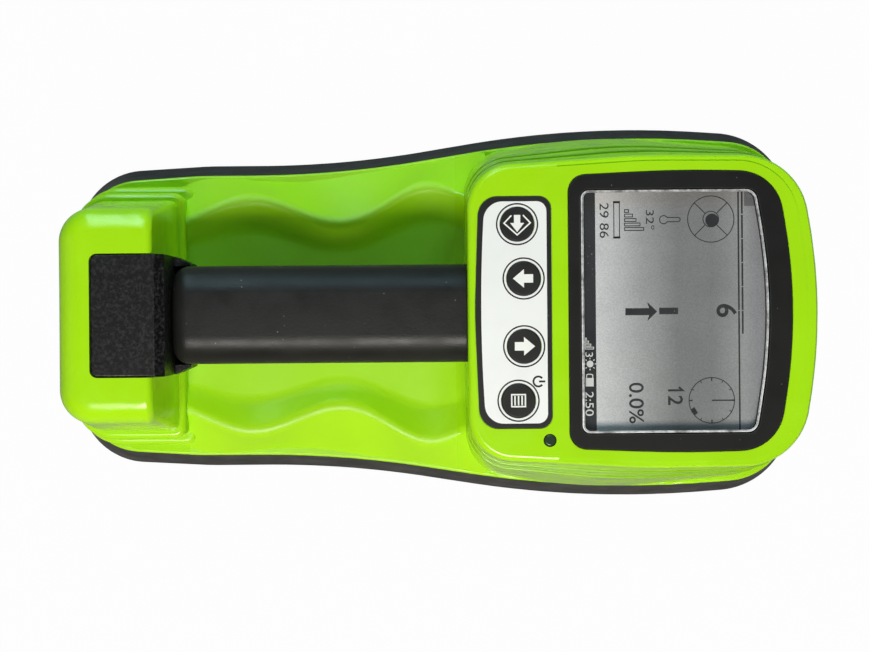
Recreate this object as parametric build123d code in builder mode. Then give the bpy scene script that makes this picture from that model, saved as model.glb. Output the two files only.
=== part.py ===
"""Drill tracking locator: a hand-carried housing with a display pod, keypad, carry handle and battery pack.

Millimetres. +X points forward to the display end, +Y to the left, +Z up; the feet stand on Z = 0.
"""
import os
from math import atan2, degrees, radians, tan

from build123d import *

os.makedirs("parts", exist_ok=True)

CENTER = Align.CENTER
MIN = Align.MIN
MAX = Align.MAX

# Sole plan: rear end, straight waist, swelling to a shoulder, then a narrower nose
sole_length = 356.0
rear_width = 143.2
waist_width = 150.5
shoulder_width = 189.0
nose_width = 174.5
waist_rear_distance = 66.0
waist_distance = 133.0
shoulder_setback = 103.0
rear_corner_radius = 33.5
nose_corner_radius = 38.0
rear_blend_radius = 150.0
waist_blend_share = 0.333
shoulder_blend_share = 0.56

# Lower housing, a tray that flares out to a belt and then in to the split line
foot_stand = 4.0
sole_edge_height = 10.0
sole_edge_inset = 6.0
base_height = 46.0
rim_inset = 8.6
rim_rear_radius = 29.5
rim_nose_radius = 31.0
base_wall = 4.0
floor_thickness = 4.0
belt_radius = 5.0
foot_radius = 10.0
foot_seat_depth = 2.0
foot_rear_distance = 62.0
foot_front_distance = 70.0
foot_side_inset = 26.0

# Upper housing
wall = 3.0
gasket_thickness = 2.0
gasket_width = 3.0
gasket_edge = 0.6
lip_height = 6.0
lip_ledge = 1.5
lip_radius = 1.2

# Display pod, with two ledges round its sides, a bowed front and a rebate round the display end of its top
pod_length = 153.7
pod_height = 92.0
pod_top_rear_width = 124.0
pod_top_shoulder_width = 133.0
pod_top_nose_width = 132.0
pod_top_shoulder_distance = 76.0
pod_front_lean = 4.6
pod_rear_radius = 19.5
pod_blend_share = 1.32
pod_nose_radius = 28.5
pod_foot_nose_radius = 28.0
pod_ledge_heights = (47.0, 70.0)
pod_ledge = 1.2
pod_edge_radius = 3.0
ledge_edge_radius = 0.7
front_bow_radius = 230.0
front_bow_angle = 9.5
pod_rebate_distance = 38.3
pod_rebate_width = 2.4
pod_rebate_front_width = 4.6
pod_rebate_depth = 0.7

# Rear block on two plinth steps, its top a little above the pod and its front cut flat
rear_block_setback = 12.0
rear_block_length = 47.0
rear_block_rise = 8.0
rear_block_width = 107.0
rear_block_top_width = 90.0
rear_block_lean = 7.2
rear_block_radius = 14.5
rear_block_edge_radius = 10.5
rear_block_front_edge_radius = 3.5
plinth_heights = (8.0, 22.0)
plinth_side_step = 3.7
plinth_rear_step = 1.7
plinth_front_step = 3.0
plinth_front_radius = 5.0
plinth_edge_radius = 2.6

# Waist with the hand pocket, between rear block and pod
pocket_floor_height = 14.0
pocket_corner_radius = 10.0
crest_radius = 5.0

# Waist sections from rear to front: place as a share of the pocket's length, inset of the foot, half width and
# rise of the crest beside the pocket, half width and rise of the pocket's floor
waist_sections = (
    (-0.10, 9.0, 40.0, 10.0, 32.0, 3.0),
    (0.007, 2.5, 43.5, 10.5, 33.0, 4.0),
    (0.085, 0.0, 47.6, 10.5, 36.0, 3.0),
    (0.198, 0.0, 54.0, 10.0, 40.0, 0.0),
    (0.542, 0.0, 42.0, 11.0, 33.5, 0.0),
    (0.762, 0.0, 54.3, 10.0, 40.0, 0.0),
    (0.937, 0.0, 58.4, 10.0, 43.0, 2.0),
    (1.078, 0.0, 56.5, 18.0, 43.0, 10.0),
)

# Handle
grip_width = 42.8
grip_height = 34.0
grip_edge_radius = 12.5
grip_end_radius = 7.0
grip_drop = 10.0
core_radius = 8.0
core_pad_radius = 16.0
core_pad_thickness = 3.0
nut_radius = 12.0
nut_thickness = 9.0
washer_radius = 14.0
washer_thickness = 2.0
core_end_length = 2.0
core_chamfer = 1.0

# Handle end block
end_block_length = 38.0
end_block_width = 51.8
end_block_height = 54.0
end_block_neck = 12.0
end_cup_length = 7.0
end_cup_rise = 2.0
end_cup_wall = 1.3
end_block_bevel = 4.0
end_block_bevel_drop = 3.0
end_block_wall = 4.5
end_block_front_wall = 12.0
end_block_radius = 3.0
end_block_edge_radius = 1.0
aerial_puck_gap = 1.0
aerial_puck_length = 18.0
aerial_puck_width = 38.0
aerial_puck_thickness = 6.0
end_screw_spread = 30.0
end_screw_drop = 8.0

# Display
bezel_distance = 42.9
bezel_length = 95.1
bezel_rear_width = 116.0
bezel_width = 120.0
bezel_blend_radius = 500.0
bezel_nose_width = 118.0
bezel_seat_depth = 1.2
bezel_thickness = 2.0
bezel_rear_radius = 7.5
bezel_front_radius = 19.0
bezel_collar_width = 2.5
bezel_collar_depth = 4.5
window_setback = 5.4
window_length = 79.9
window_width = 103.6
window_rear_radius = 3.5
window_front_radius = 5.0
window_thickness = 2.0
window_sink = 1.0
window_ledge = 0.8
window_gasket_thickness = 1.0
lcd_length = 88.0
lcd_width = 110.0
lcd_thickness = 3.5
backlight_thickness = 6.0
backlight_margin = 1.0
frame_plate_thickness = 1.5
frame_plate_rear_width = 125.0
frame_plate_front_width = 106.0
frame_plate_overhang = 4.5
display_boss_radius = 3.5
display_rear_boss = (47.0, 59.0)
display_front_boss = (136.3, 46.5)

# Main board
spacer_height = 10.0
spacer_radius = 3.0
board_thickness = 1.6
board_length = 90.0
board_width = 100.0
board_hole_inset = 6.0
beeper_radius = 10.0
beeper_height = 7.0
beeper_spot = (24.0, 22.0)
chip_sizes = ((16.0, 16.0), (12.0, 10.0), (9.0, 9.0))
chip_pitch = 22.0
chip_thickness = 1.6

# Keypad
overlay_distance = 2.9
overlay_length = 32.8
overlay_width = 98.5
overlay_bow = 1.8
overlay_rear_radius = 8.5
overlay_front_radius = 5.5
overlay_seat_depth = 0.5
overlay_thickness = 0.8
key_radius = 7.2
key_rise = 0.5
key_travel = 0.7
key_body_height = 2.1
key_stem_radius = 3.0
key_outer_spread = 75.0
key_inner_spread = 28.8
key_outer_distance = 21.2
key_inner_distance = 23.8
keypad_board_length = 31.0
keypad_board_width = 100.0
keypad_board_distance = 7.0
keypad_board_drop = 8.4
switch_size = 6.0
switch_height = 3.2
plunger_radius = 1.6
plunger_height = 0.8
keypad_boss_radius = 3.0
keypad_boss_spread = 52.0
keypad_boss_rear = 11.5
keypad_boss_front = 33.0
led_radius = 2.5
led_flange_radius = 3.5
led_flange_thickness = 1.4
led_distance = 34.5
led_side = 54.5

# Screws
housing_screw_radius = 2.0
housing_screw_seat = 20.0
housing_screw_grip = 12.0
housing_boss_radius = 5.5
housing_boss_height = 16.0
housing_spigot_radius = 4.3
housing_screw_inset = 18.0
waist_screw_inset = 25.0
rear_screw_inset = 23.0
rear_screw_distance = 30.0
waist_screw_distance = 123.0
pod_screw_distance = 33.0
small_screw_radius = 1.5
small_screw_grip = 6.0
small_head_height = 2.0

# Aerials on their cradle
cradle_thickness = 3.0
cradle_width = 32.0
cradle_front_setback = 36.0
cradle_rear_gap = 11.5
cross_rod_setback = 105.0
upright_rod_setback = 60.0
rod_radius = 5.0
rod_end_gap = 24.0
cross_rod_length = 110.0
upright_rod_length = 92.0
rod_height = 18.0
eye_thickness = 8.0
eye_radius = 9.0
coil_margin = 16.0
coil_thickness = 4.0
socket_depth = 10.0
cradle_screw_bite = 2.5
cradle_screw_inset = 5.0
cradle_screw_distance = 20.0

# Battery pack and its bay
cell_radius = 9.2
cell_length = 65.0
cell_pitch = 19.4
cell_count = 3
case_wall = 1.5
case_length = 73.0
bay_wall = 2.0
bay_end_wall = 3.0
bay_rib_height = 4.0
bay_rib_width = 6.0
terminal_gap = 4.0
terminal_radius = 2.0
terminal_pitch = 16.0
contact_radius = 4.0
contact_thickness = 0.8
cap_seat_depth = 10.0
cap_width = 96.0
cap_margin = 5.0
cap_thickness = 5.5
cap_edge_radius = 1.5
plug_length = 6.0
seal_thickness = 1.5
seal_width = 3.0
door_frame_thickness = 5.0
door_frame_margin = 5.0
thumbscrew_spread = 79.0
thumbscrew_radius = 2.5
thumbscrew_length = 15.0
knob_radius = 6.0
knob_thickness = 5.5
knob_sink = 4.0
knob_flutes = 12
flute_radius = 0.8
thumbscrew_boss_radius = 5.0
thumbscrew_boss_length = 12.0
clip_radius = 4.2
clip_thickness = 0.8

# Clearances
seat_gap = 0.3
slide_gap = 0.5
hole_gap = 0.3
tip_gap = 1.0

# Levels worked out from the sizes above
level_slack = 0.05
rear_x = -sole_length / 2
front_x = sole_length / 2
sole_z = foot_stand
floor_z = sole_z + floor_thickness
belt_z = sole_z + sole_edge_height
split_z = sole_z + base_height
rim_z = split_z + gasket_thickness
lip_z = rim_z + lip_height
pod_top_z = lip_z + pod_height
pod_inner_z = pod_top_z - wall
rear_top_z = pod_top_z + rear_block_rise
pocket_z = rim_z + pocket_floor_height

# Plan positions
pod_front_x = front_x - rim_inset - lip_ledge
pod_rear_x = pod_front_x - pod_length
rear_wall_x = rear_x + rear_block_setback
rear_front_x = rear_wall_x + rear_block_length
display_rear_x = pod_rear_x + bezel_distance
window_rear_x = display_rear_x + window_setback
bow_slope = tan(radians(front_bow_angle))

shoulder_x = front_x - shoulder_setback
waist_x = rear_x + waist_distance

# The blends at the waist and the shoulder each take a share of the straight runs beside them
side_run = shoulder_x - waist_x
side_slope = atan2((shoulder_width - waist_width) / 2, side_run)
nose_slope = atan2((shoulder_width - nose_width) / 2, shoulder_setback)
waist_blend_radius = waist_blend_share * side_run / tan(side_slope / 2)
shoulder_run = min(side_run, shoulder_setback)
shoulder_blend_radius = shoulder_blend_share * shoulder_run / tan((side_slope + nose_slope) / 2)


def base_corners(inset, rear_radius, nose_radius):
    """Corners of the base's outline, all brought in by an inset, with a radius for each end."""
    return [
        (rear_x + inset, rear_width / 2 - inset, rear_radius),
        (rear_x + waist_rear_distance, waist_width / 2 - inset, rear_blend_radius),
        (waist_x, waist_width / 2 - inset, waist_blend_radius),
        (shoulder_x, shoulder_width / 2 - inset, shoulder_blend_radius),
        (front_x - inset, nose_width / 2 - inset, nose_radius),
    ]


def inside_sole(inset):
    """Corners of the sole's outline, brought in by an inset."""
    return base_corners(inset, rear_corner_radius - inset, nose_corner_radius - inset)


def inside_rim(inset):
    """Corners of the rim's outline, brought in by an inset."""
    return base_corners(rim_inset + inset, rim_rear_radius - inset, rim_nose_radius - inset)


sole_corners = inside_sole(0.0)
rim_corners = inside_rim(0.0)


def mirrored_outline(corners, height, inset=0.0):
    """Face at a height, symmetric about the X axis, from the corners (x, half width, radius) of its +Y half."""
    right_side = [(x, -y, r) for x, y, r in corners]
    left_side = [(x, y, r) for x, y, r in reversed(corners) if y > 0]
    loop = right_side + left_side
    with BuildSketch(Plane.XY.offset(height)) as face:
        with BuildLine():
            FilletPolyline(*[(x, y) for x, y, r in loop], radius=[r for x, y, r in loop], close=True)
        make_face()
        if inset != 0:
            offset(amount=-inset)
    return face.sketch


def side_half_width(x):
    """Half width of the sole at a station, along the straight runs between its corners."""
    for (x_a, y_a, r_a), (x_b, y_b, r_b) in zip(sole_corners, sole_corners[1:]):
        if x <= x_b:
            return y_a + (y_b - y_a) * (x - x_a) / (x_b - x_a)
    return sole_corners[-1][1]


def bowed_front(apex_x, half_width, corner_radius):
    """Front corner and middle of an outline whose front edge is bowed, with its foremost point at apex_x."""
    vertex_x = apex_x + front_bow_radius * (1 / (1 + bow_slope**2) ** -0.5 - 1)
    return [(vertex_x - half_width * bow_slope, half_width, corner_radius), (vertex_x, 0.0, front_bow_radius)]


def between(corners_a, corners_b, share):
    """Corners part of the way from one list of corners to another."""
    return [tuple(a + (b - a) * share for a, b in zip(p, q)) for p, q in zip(corners_a, corners_b)]


def level_edges(part, level, place):
    """Edges round a flat face at a level, the rearmost (0) or the foremost (-1) where several share it."""
    flats = part.faces().filter_by_position(Axis.Z, level - level_slack, level + level_slack)
    return flats.sort_by(Axis.X)[place].edges()


def mirrored_spots(x, y):
    """A spot and its mirror image across the X axis."""
    return [(x, y), (x, -y)]


# Outlines shared by several pieces
pod_rear_half_width = side_half_width(pod_rear_x)
pod_blend_radius = pod_blend_share * (shoulder_x - pod_rear_x) ** 2 / (shoulder_width - 2 * pod_rear_half_width)
pod_foot_corners = [
    (pod_rear_x, pod_rear_half_width - rim_inset - lip_ledge, pod_rear_radius + lip_ledge),
    (shoulder_x, shoulder_width / 2 - rim_inset - lip_ledge, pod_blend_radius),
] + bowed_front(pod_front_x, nose_width / 2 - rim_inset - lip_ledge, pod_foot_nose_radius)

pod_top_corners = [
    (pod_rear_x, pod_top_rear_width / 2, pod_rear_radius),
    (pod_rear_x + pod_top_shoulder_distance, pod_top_shoulder_width / 2, pod_blend_radius),
] + bowed_front(pod_front_x - pod_front_lean, pod_top_nose_width / 2, pod_nose_radius)

pod_rebate_rear_x = pod_rear_x + pod_rebate_distance
pod_rebate_share = pod_rebate_distance / pod_top_shoulder_distance
pod_rebate_rear_width = pod_top_rear_width + (pod_top_shoulder_width - pod_top_rear_width) * pod_rebate_share
display_deck_corners = [
    (pod_rebate_rear_x, pod_rebate_rear_width / 2 - pod_rebate_width, 0.0),
    (pod_rear_x + pod_top_shoulder_distance, pod_top_shoulder_width / 2 - pod_rebate_width, pod_blend_radius),
] + bowed_front(pod_front_x - pod_front_lean - pod_rebate_front_width,
                pod_top_nose_width / 2 - pod_rebate_width, pod_nose_radius - pod_rebate_width)

bezel_corners = [
    (display_rear_x, bezel_rear_width / 2, bezel_rear_radius),
    (display_rear_x + bezel_length / 2, bezel_width / 2, bezel_blend_radius),
] + bowed_front(display_rear_x + bezel_length, bezel_nose_width / 2, bezel_front_radius)

window_corners = [
    (window_rear_x, window_width / 2, window_rear_radius),
] + bowed_front(window_rear_x + window_length, window_width / 2, window_front_radius)

overlay_rear_x = pod_rear_x + overlay_distance
overlay_corners = [
    (overlay_rear_x, 0.0, front_bow_radius),
    (overlay_rear_x + overlay_bow, overlay_width / 2, overlay_rear_radius),
    (overlay_rear_x + overlay_length, overlay_width / 2, overlay_front_radius),
]


def plinth_corners(step):
    """Outline of a plinth step that many steps out from the rear block's foot."""
    half_width = rear_block_width / 2 + step * plinth_side_step
    return [
        (rear_wall_x - step * plinth_rear_step, half_width, rear_block_radius + step * plinth_side_step),
        (rear_front_x + step * plinth_front_step, half_width, plinth_front_radius),
    ]


def rear_block_corners(lean, width, overrun=0.0):
    """Outline across the rear block: its rear wall leans in, and its front may run on past the front wall."""
    return [
        (rear_wall_x + lean, width / 2, rear_block_radius),
        (rear_front_x + overrun, width / 2, rear_block_radius),
    ]


rear_foot = (0.0, rear_block_width)
rear_top = (rear_block_lean, rear_block_top_width)
rear_overrun = rear_block_radius + rear_block_edge_radius

# Waist sections at their places; the hollow inside them starts at the rear block's front wall
pocket_length = pod_rear_x - rear_front_x
waist_stations = [(rear_front_x + share * pocket_length, *sizes) for share, *sizes in waist_sections]
hollow_stations = [(rear_front_x, *waist_stations[1][1:])] + waist_stations[2:]


def pocket_section(station, inset=0.0):
    """Cross-section of the waist: lip, flank up to a rounded crest, pocket wall down to the pocket floor."""
    x, foot_inset, crest_half_width, crest_rise, floor_half_width, floor_rise = station
    foot_half_width = side_half_width(x) - rim_inset - lip_ledge - foot_inset
    bottom_z = sole_z if inset else lip_z - lip_height / 2
    half = [
        (foot_half_width, bottom_z, 0),
        (foot_half_width, lip_z, 0),
        (crest_half_width, pocket_z + crest_rise, crest_radius),
        (floor_half_width, pocket_z + floor_rise, pocket_corner_radius),
    ]
    loop = half + [(-y, z, r) for y, z, r in reversed(half)]
    with BuildSketch(Plane((x, 0, 0), x_dir=(0, 1, 0), z_dir=(1, 0, 0))) as face:
        with BuildLine():
            FilletPolyline(*[(y, z) for y, z, r in loop], radius=[r for y, z, r in loop], close=True)
        make_face()
        if inset > 0:
            offset(amount=-inset, kind=Kind.INTERSECTION)
    return face.sketch


def screw(radius, length, head_radius, head_height):
    """Socket-head screw along Z, its head above Z = 0 and its shank below."""
    with BuildPart() as body:
        Cylinder(head_radius, head_height, align=(CENTER, CENTER, MIN))
        with BuildSketch(Plane.XY.offset(head_height)):
            RegularPolygon(radius, 6)
        extrude(amount=-head_height / 2, mode=Mode.SUBTRACT)
        Cylinder(radius, length, align=(CENTER, CENTER, MAX))
    return body.part


small_head_radius = 2 * small_screw_radius
small_hole_radius = small_screw_radius + hole_gap

# Screw columns that join the two housings, in four pairs
housing_screw_spots = mirrored_spots(rear_x + rear_screw_distance, waist_width / 2 - rear_screw_inset)
for station, inset in (
    (rear_x + waist_screw_distance, waist_screw_inset),
    (pod_rear_x + pod_screw_distance, housing_screw_inset),
    (front_x - nose_corner_radius, housing_screw_inset),
):
    housing_screw_spots += mirrored_spots(station, side_half_width(station) - inset)
housing_hole_radius = housing_screw_radius + hole_gap
housing_head_radius = 2 * housing_screw_radius
screw_seat_z = sole_z + housing_screw_seat

# Battery pack places
case_width = (cell_count - 1) * cell_pitch + 2 * (cell_radius + hole_gap + case_wall)
case_height = 2 * (cell_radius + hole_gap + case_wall)
bay_inner_width = case_width + 2 * slide_gap
bay_inner_height = case_height + 2 * slide_gap
pack_z = floor_z + bay_rib_height + bay_wall + bay_inner_height / 2
cap_seat_x = rear_x + cap_seat_depth
cap_inner_x = cap_seat_x - seal_thickness
cap_outer_x = cap_inner_x - cap_thickness
cap_height = bay_inner_height + 2 * cap_margin
door_inner_x = cap_seat_x + door_frame_thickness
case_front_x = cap_inner_x + case_length
bay_front_x = case_front_x + terminal_gap
thumbscrew_spots = [(thumbscrew_spread / 2, pack_z), (-thumbscrew_spread / 2, pack_z)]

# Feet
foot_spots = []
for station in (rear_x + foot_rear_distance, front_x - foot_front_distance):
    foot_spots += mirrored_spots(station, side_half_width(station) - foot_side_inset)

# Aerial cradle places
cradle_front_x = front_x - cradle_front_setback
cradle_rear_x = bay_front_x + bay_end_wall + cradle_rear_gap
cross_rod_x = front_x - cross_rod_setback
upright_rod_x = front_x - upright_rod_setback
long_rod_x = cradle_rear_x + eye_thickness
long_rod_length = cross_rod_x - eye_radius - rod_end_gap - long_rod_x
rod_z = floor_z + rod_height
cradle_top_z = floor_z + cradle_thickness
cradle_screw_spots = []
for station in (cradle_rear_x + cradle_screw_distance, cradle_front_x - cradle_screw_inset):
    cradle_screw_spots += mirrored_spots(station, cradle_width / 2 - cradle_screw_inset)

sole_slope = degrees(atan2(sole_edge_inset, sole_edge_height))

# Lower housing: hollow tray, with screw columns and the battery door frame left solid
with BuildPart() as tray_hollow:
    loft([mirrored_outline(inside_sole(base_wall), belt_z), mirrored_outline(inside_rim(base_wall), split_z)],
         ruled=True)
    extrude(mirrored_outline(inside_sole(base_wall), belt_z), amount=floor_z - belt_z, taper=sole_slope)
    with Locations(*[(x, y, split_z) for x, y in housing_screw_spots]):
        Cylinder(housing_boss_radius, base_height, align=(CENTER, CENTER, MAX), mode=Mode.SUBTRACT)
    with Locations((door_inner_x, 0, floor_z)):
        Box(sole_length / 4, cap_width + 2 * door_frame_margin, base_height, align=(MAX, CENTER, MIN),
            mode=Mode.SUBTRACT)
    with Locations(*[(door_inner_x, y, z) for y, z in thumbscrew_spots]):
        Cylinder(thumbscrew_boss_radius, thumbscrew_boss_length, rotation=(0, 90, 0),
                 align=(CENTER, CENTER, MIN),
                 mode=Mode.SUBTRACT)
    with Locations((door_inner_x + case_length / 4, 0, floor_z), (bay_front_x - bay_rib_width, 0, floor_z)):
        Box(bay_rib_width, bay_inner_width, bay_rib_height, align=(CENTER, CENTER, MIN), mode=Mode.SUBTRACT)

with BuildPart() as lower_housing:
    loft([mirrored_outline(sole_corners, belt_z), mirrored_outline(rim_corners, split_z)], ruled=True)
    extrude(mirrored_outline(sole_corners, belt_z), amount=sole_z - belt_z, taper=sole_slope)
    belt_limits = (belt_z - level_slack, belt_z + level_slack)
    fillet(lower_housing.edges().filter_by_position(Axis.Z, *belt_limits), belt_radius)
    add(tray_hollow.part, mode=Mode.SUBTRACT)
    with Locations(*[(x, y, sole_z) for x, y in housing_screw_spots]):
        Cylinder(housing_head_radius + hole_gap, housing_screw_seat, align=(CENTER, CENTER, MIN),
                 mode=Mode.SUBTRACT)
        Cylinder(housing_hole_radius, base_height, align=(CENTER, CENTER, MIN), mode=Mode.SUBTRACT)
    with Locations(*[(x, y, sole_z) for x, y in foot_spots]):
        Cylinder(foot_radius + seat_gap, foot_seat_depth, align=(CENTER, CENTER, MIN), mode=Mode.SUBTRACT)
    with Locations((cap_seat_x, 0, pack_z)):
        Box(2 * cap_seat_depth, cap_width + 2 * seat_gap, cap_height + 2 * seat_gap,
            align=(MAX, CENTER, CENTER),
            mode=Mode.SUBTRACT)
        Box(2 * door_frame_thickness, bay_inner_width, bay_inner_height, mode=Mode.SUBTRACT)
    with Locations(*[(cap_seat_x, y, z) for y, z in thumbscrew_spots]):
        Cylinder(thumbscrew_radius + hole_gap, thumbscrew_length + tip_gap, rotation=(0, 90, 0),
                 align=(CENTER, CENTER, MIN), mode=Mode.SUBTRACT)
    with Locations(*[(x, y, floor_z) for x, y in cradle_screw_spots]):
        Cylinder(small_hole_radius, cradle_screw_bite, align=(CENTER, CENTER, MAX), mode=Mode.SUBTRACT)

with BuildPart() as rubber_feet:
    with Locations(*[(x, y, 0) for x, y in foot_spots]):
        Cylinder(foot_radius, foot_stand + foot_seat_depth, align=(CENTER, CENTER, MIN))
    fillet(rubber_feet.edges().group_by(Axis.Z)[0], foot_stand / 3)

with BuildPart() as housing_gasket:
    extrude(mirrored_outline(inside_rim(gasket_edge), split_z), amount=gasket_thickness)
    extrude(mirrored_outline(inside_rim(gasket_edge + gasket_width), split_z), amount=gasket_thickness,
            mode=Mode.SUBTRACT)

# Places inside the upper housing
handle_z = pod_top_z - grip_drop - grip_height / 2
end_front_x = rear_front_x + end_block_neck
end_face_x = end_front_x - end_cup_length
end_rear_x = end_front_x - end_block_length
end_bottom_z = rear_top_z - end_block_height
end_screw_z = handle_z - end_screw_drop
key_spots = [
    (pod_rear_x + key_outer_distance, key_outer_spread / 2),
    (pod_rear_x + key_inner_distance, key_inner_spread / 2),
    (pod_rear_x + key_inner_distance, -key_inner_spread / 2),
    (pod_rear_x + key_outer_distance, -key_outer_spread / 2),
]
led_spot = (pod_rear_x + led_distance, -led_side)
overlay_top_z = pod_top_z - overlay_seat_depth + overlay_thickness
key_top_z = overlay_top_z + key_rise
key_base_z = key_top_z - key_body_height
key_pocket_z = key_base_z - key_travel - seat_gap
keypad_board_z = pod_top_z - keypad_board_drop
bezel_seat_z = pod_top_z - bezel_seat_depth
bezel_top_z = bezel_seat_z + bezel_thickness
collar_bottom_z = pod_top_z - bezel_collar_depth
lcd_top_z = collar_bottom_z - window_gasket_thickness
backlight_top_z = lcd_top_z - lcd_thickness
frame_top_z = backlight_top_z - backlight_thickness
frame_bottom_z = frame_top_z - frame_plate_thickness
keypad_boss_spots = [
    (pod_rear_x + keypad_boss_rear, keypad_boss_spread / 2),
    (pod_rear_x + keypad_boss_rear, -keypad_boss_spread / 2),
    (pod_rear_x + keypad_boss_front, keypad_boss_spread / 2),
    (pod_rear_x + keypad_boss_front, -keypad_boss_spread / 2),
]
display_boss_spots = []
for distance, side in (display_rear_boss, display_front_boss):
    display_boss_spots += mirrored_spots(pod_rear_x + distance, side)

# Upper housing: hollow inside, with recess walls, bosses and the handle pad left solid
rear_roof = wall + rear_block_edge_radius / 4
with BuildPart() as shell_hollow:
    loft([mirrored_outline(pod_foot_corners, rim_z, wall),
          mirrored_outline(pod_top_corners, pod_inner_z, wall)], ruled=True)
    loft([mirrored_outline(rear_block_corners(*rear_foot), rim_z, wall),
          mirrored_outline(rear_block_corners(*rear_top), rear_top_z - rear_roof, rear_roof)], ruled=True)
    loft([pocket_section(station, wall) for station in hollow_stations])
    with Locations((end_rear_x - seat_gap - wall, 0, end_bottom_z - wall)):
        Box(rear_block_length, end_block_width + 2 * (seat_gap + wall), end_block_height,
            align=(MIN, CENTER, MIN), mode=Mode.SUBTRACT)
    with Locations((pod_rear_x, 0, handle_z)):
        Cylinder(core_pad_radius, wall + core_pad_thickness, rotation=(0, 90, 0), align=(CENTER, CENTER, MIN),
                 mode=Mode.SUBTRACT)
    with Locations(*[(x, y, rim_z) for x, y in housing_screw_spots]):
        Cylinder(housing_boss_radius, housing_boss_height, align=(CENTER, CENTER, MIN), mode=Mode.SUBTRACT)
    with Locations(*[(x, y, pod_top_z) for x, y in keypad_boss_spots]):
        Cylinder(keypad_boss_radius, keypad_board_drop, align=(CENTER, CENTER, MAX), mode=Mode.SUBTRACT)
    with Locations(*[(x, y, pod_top_z) for x, y in display_boss_spots]):
        Cylinder(display_boss_radius, pod_top_z - frame_top_z, align=(CENTER, CENTER, MAX), mode=Mode.SUBTRACT)

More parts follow.
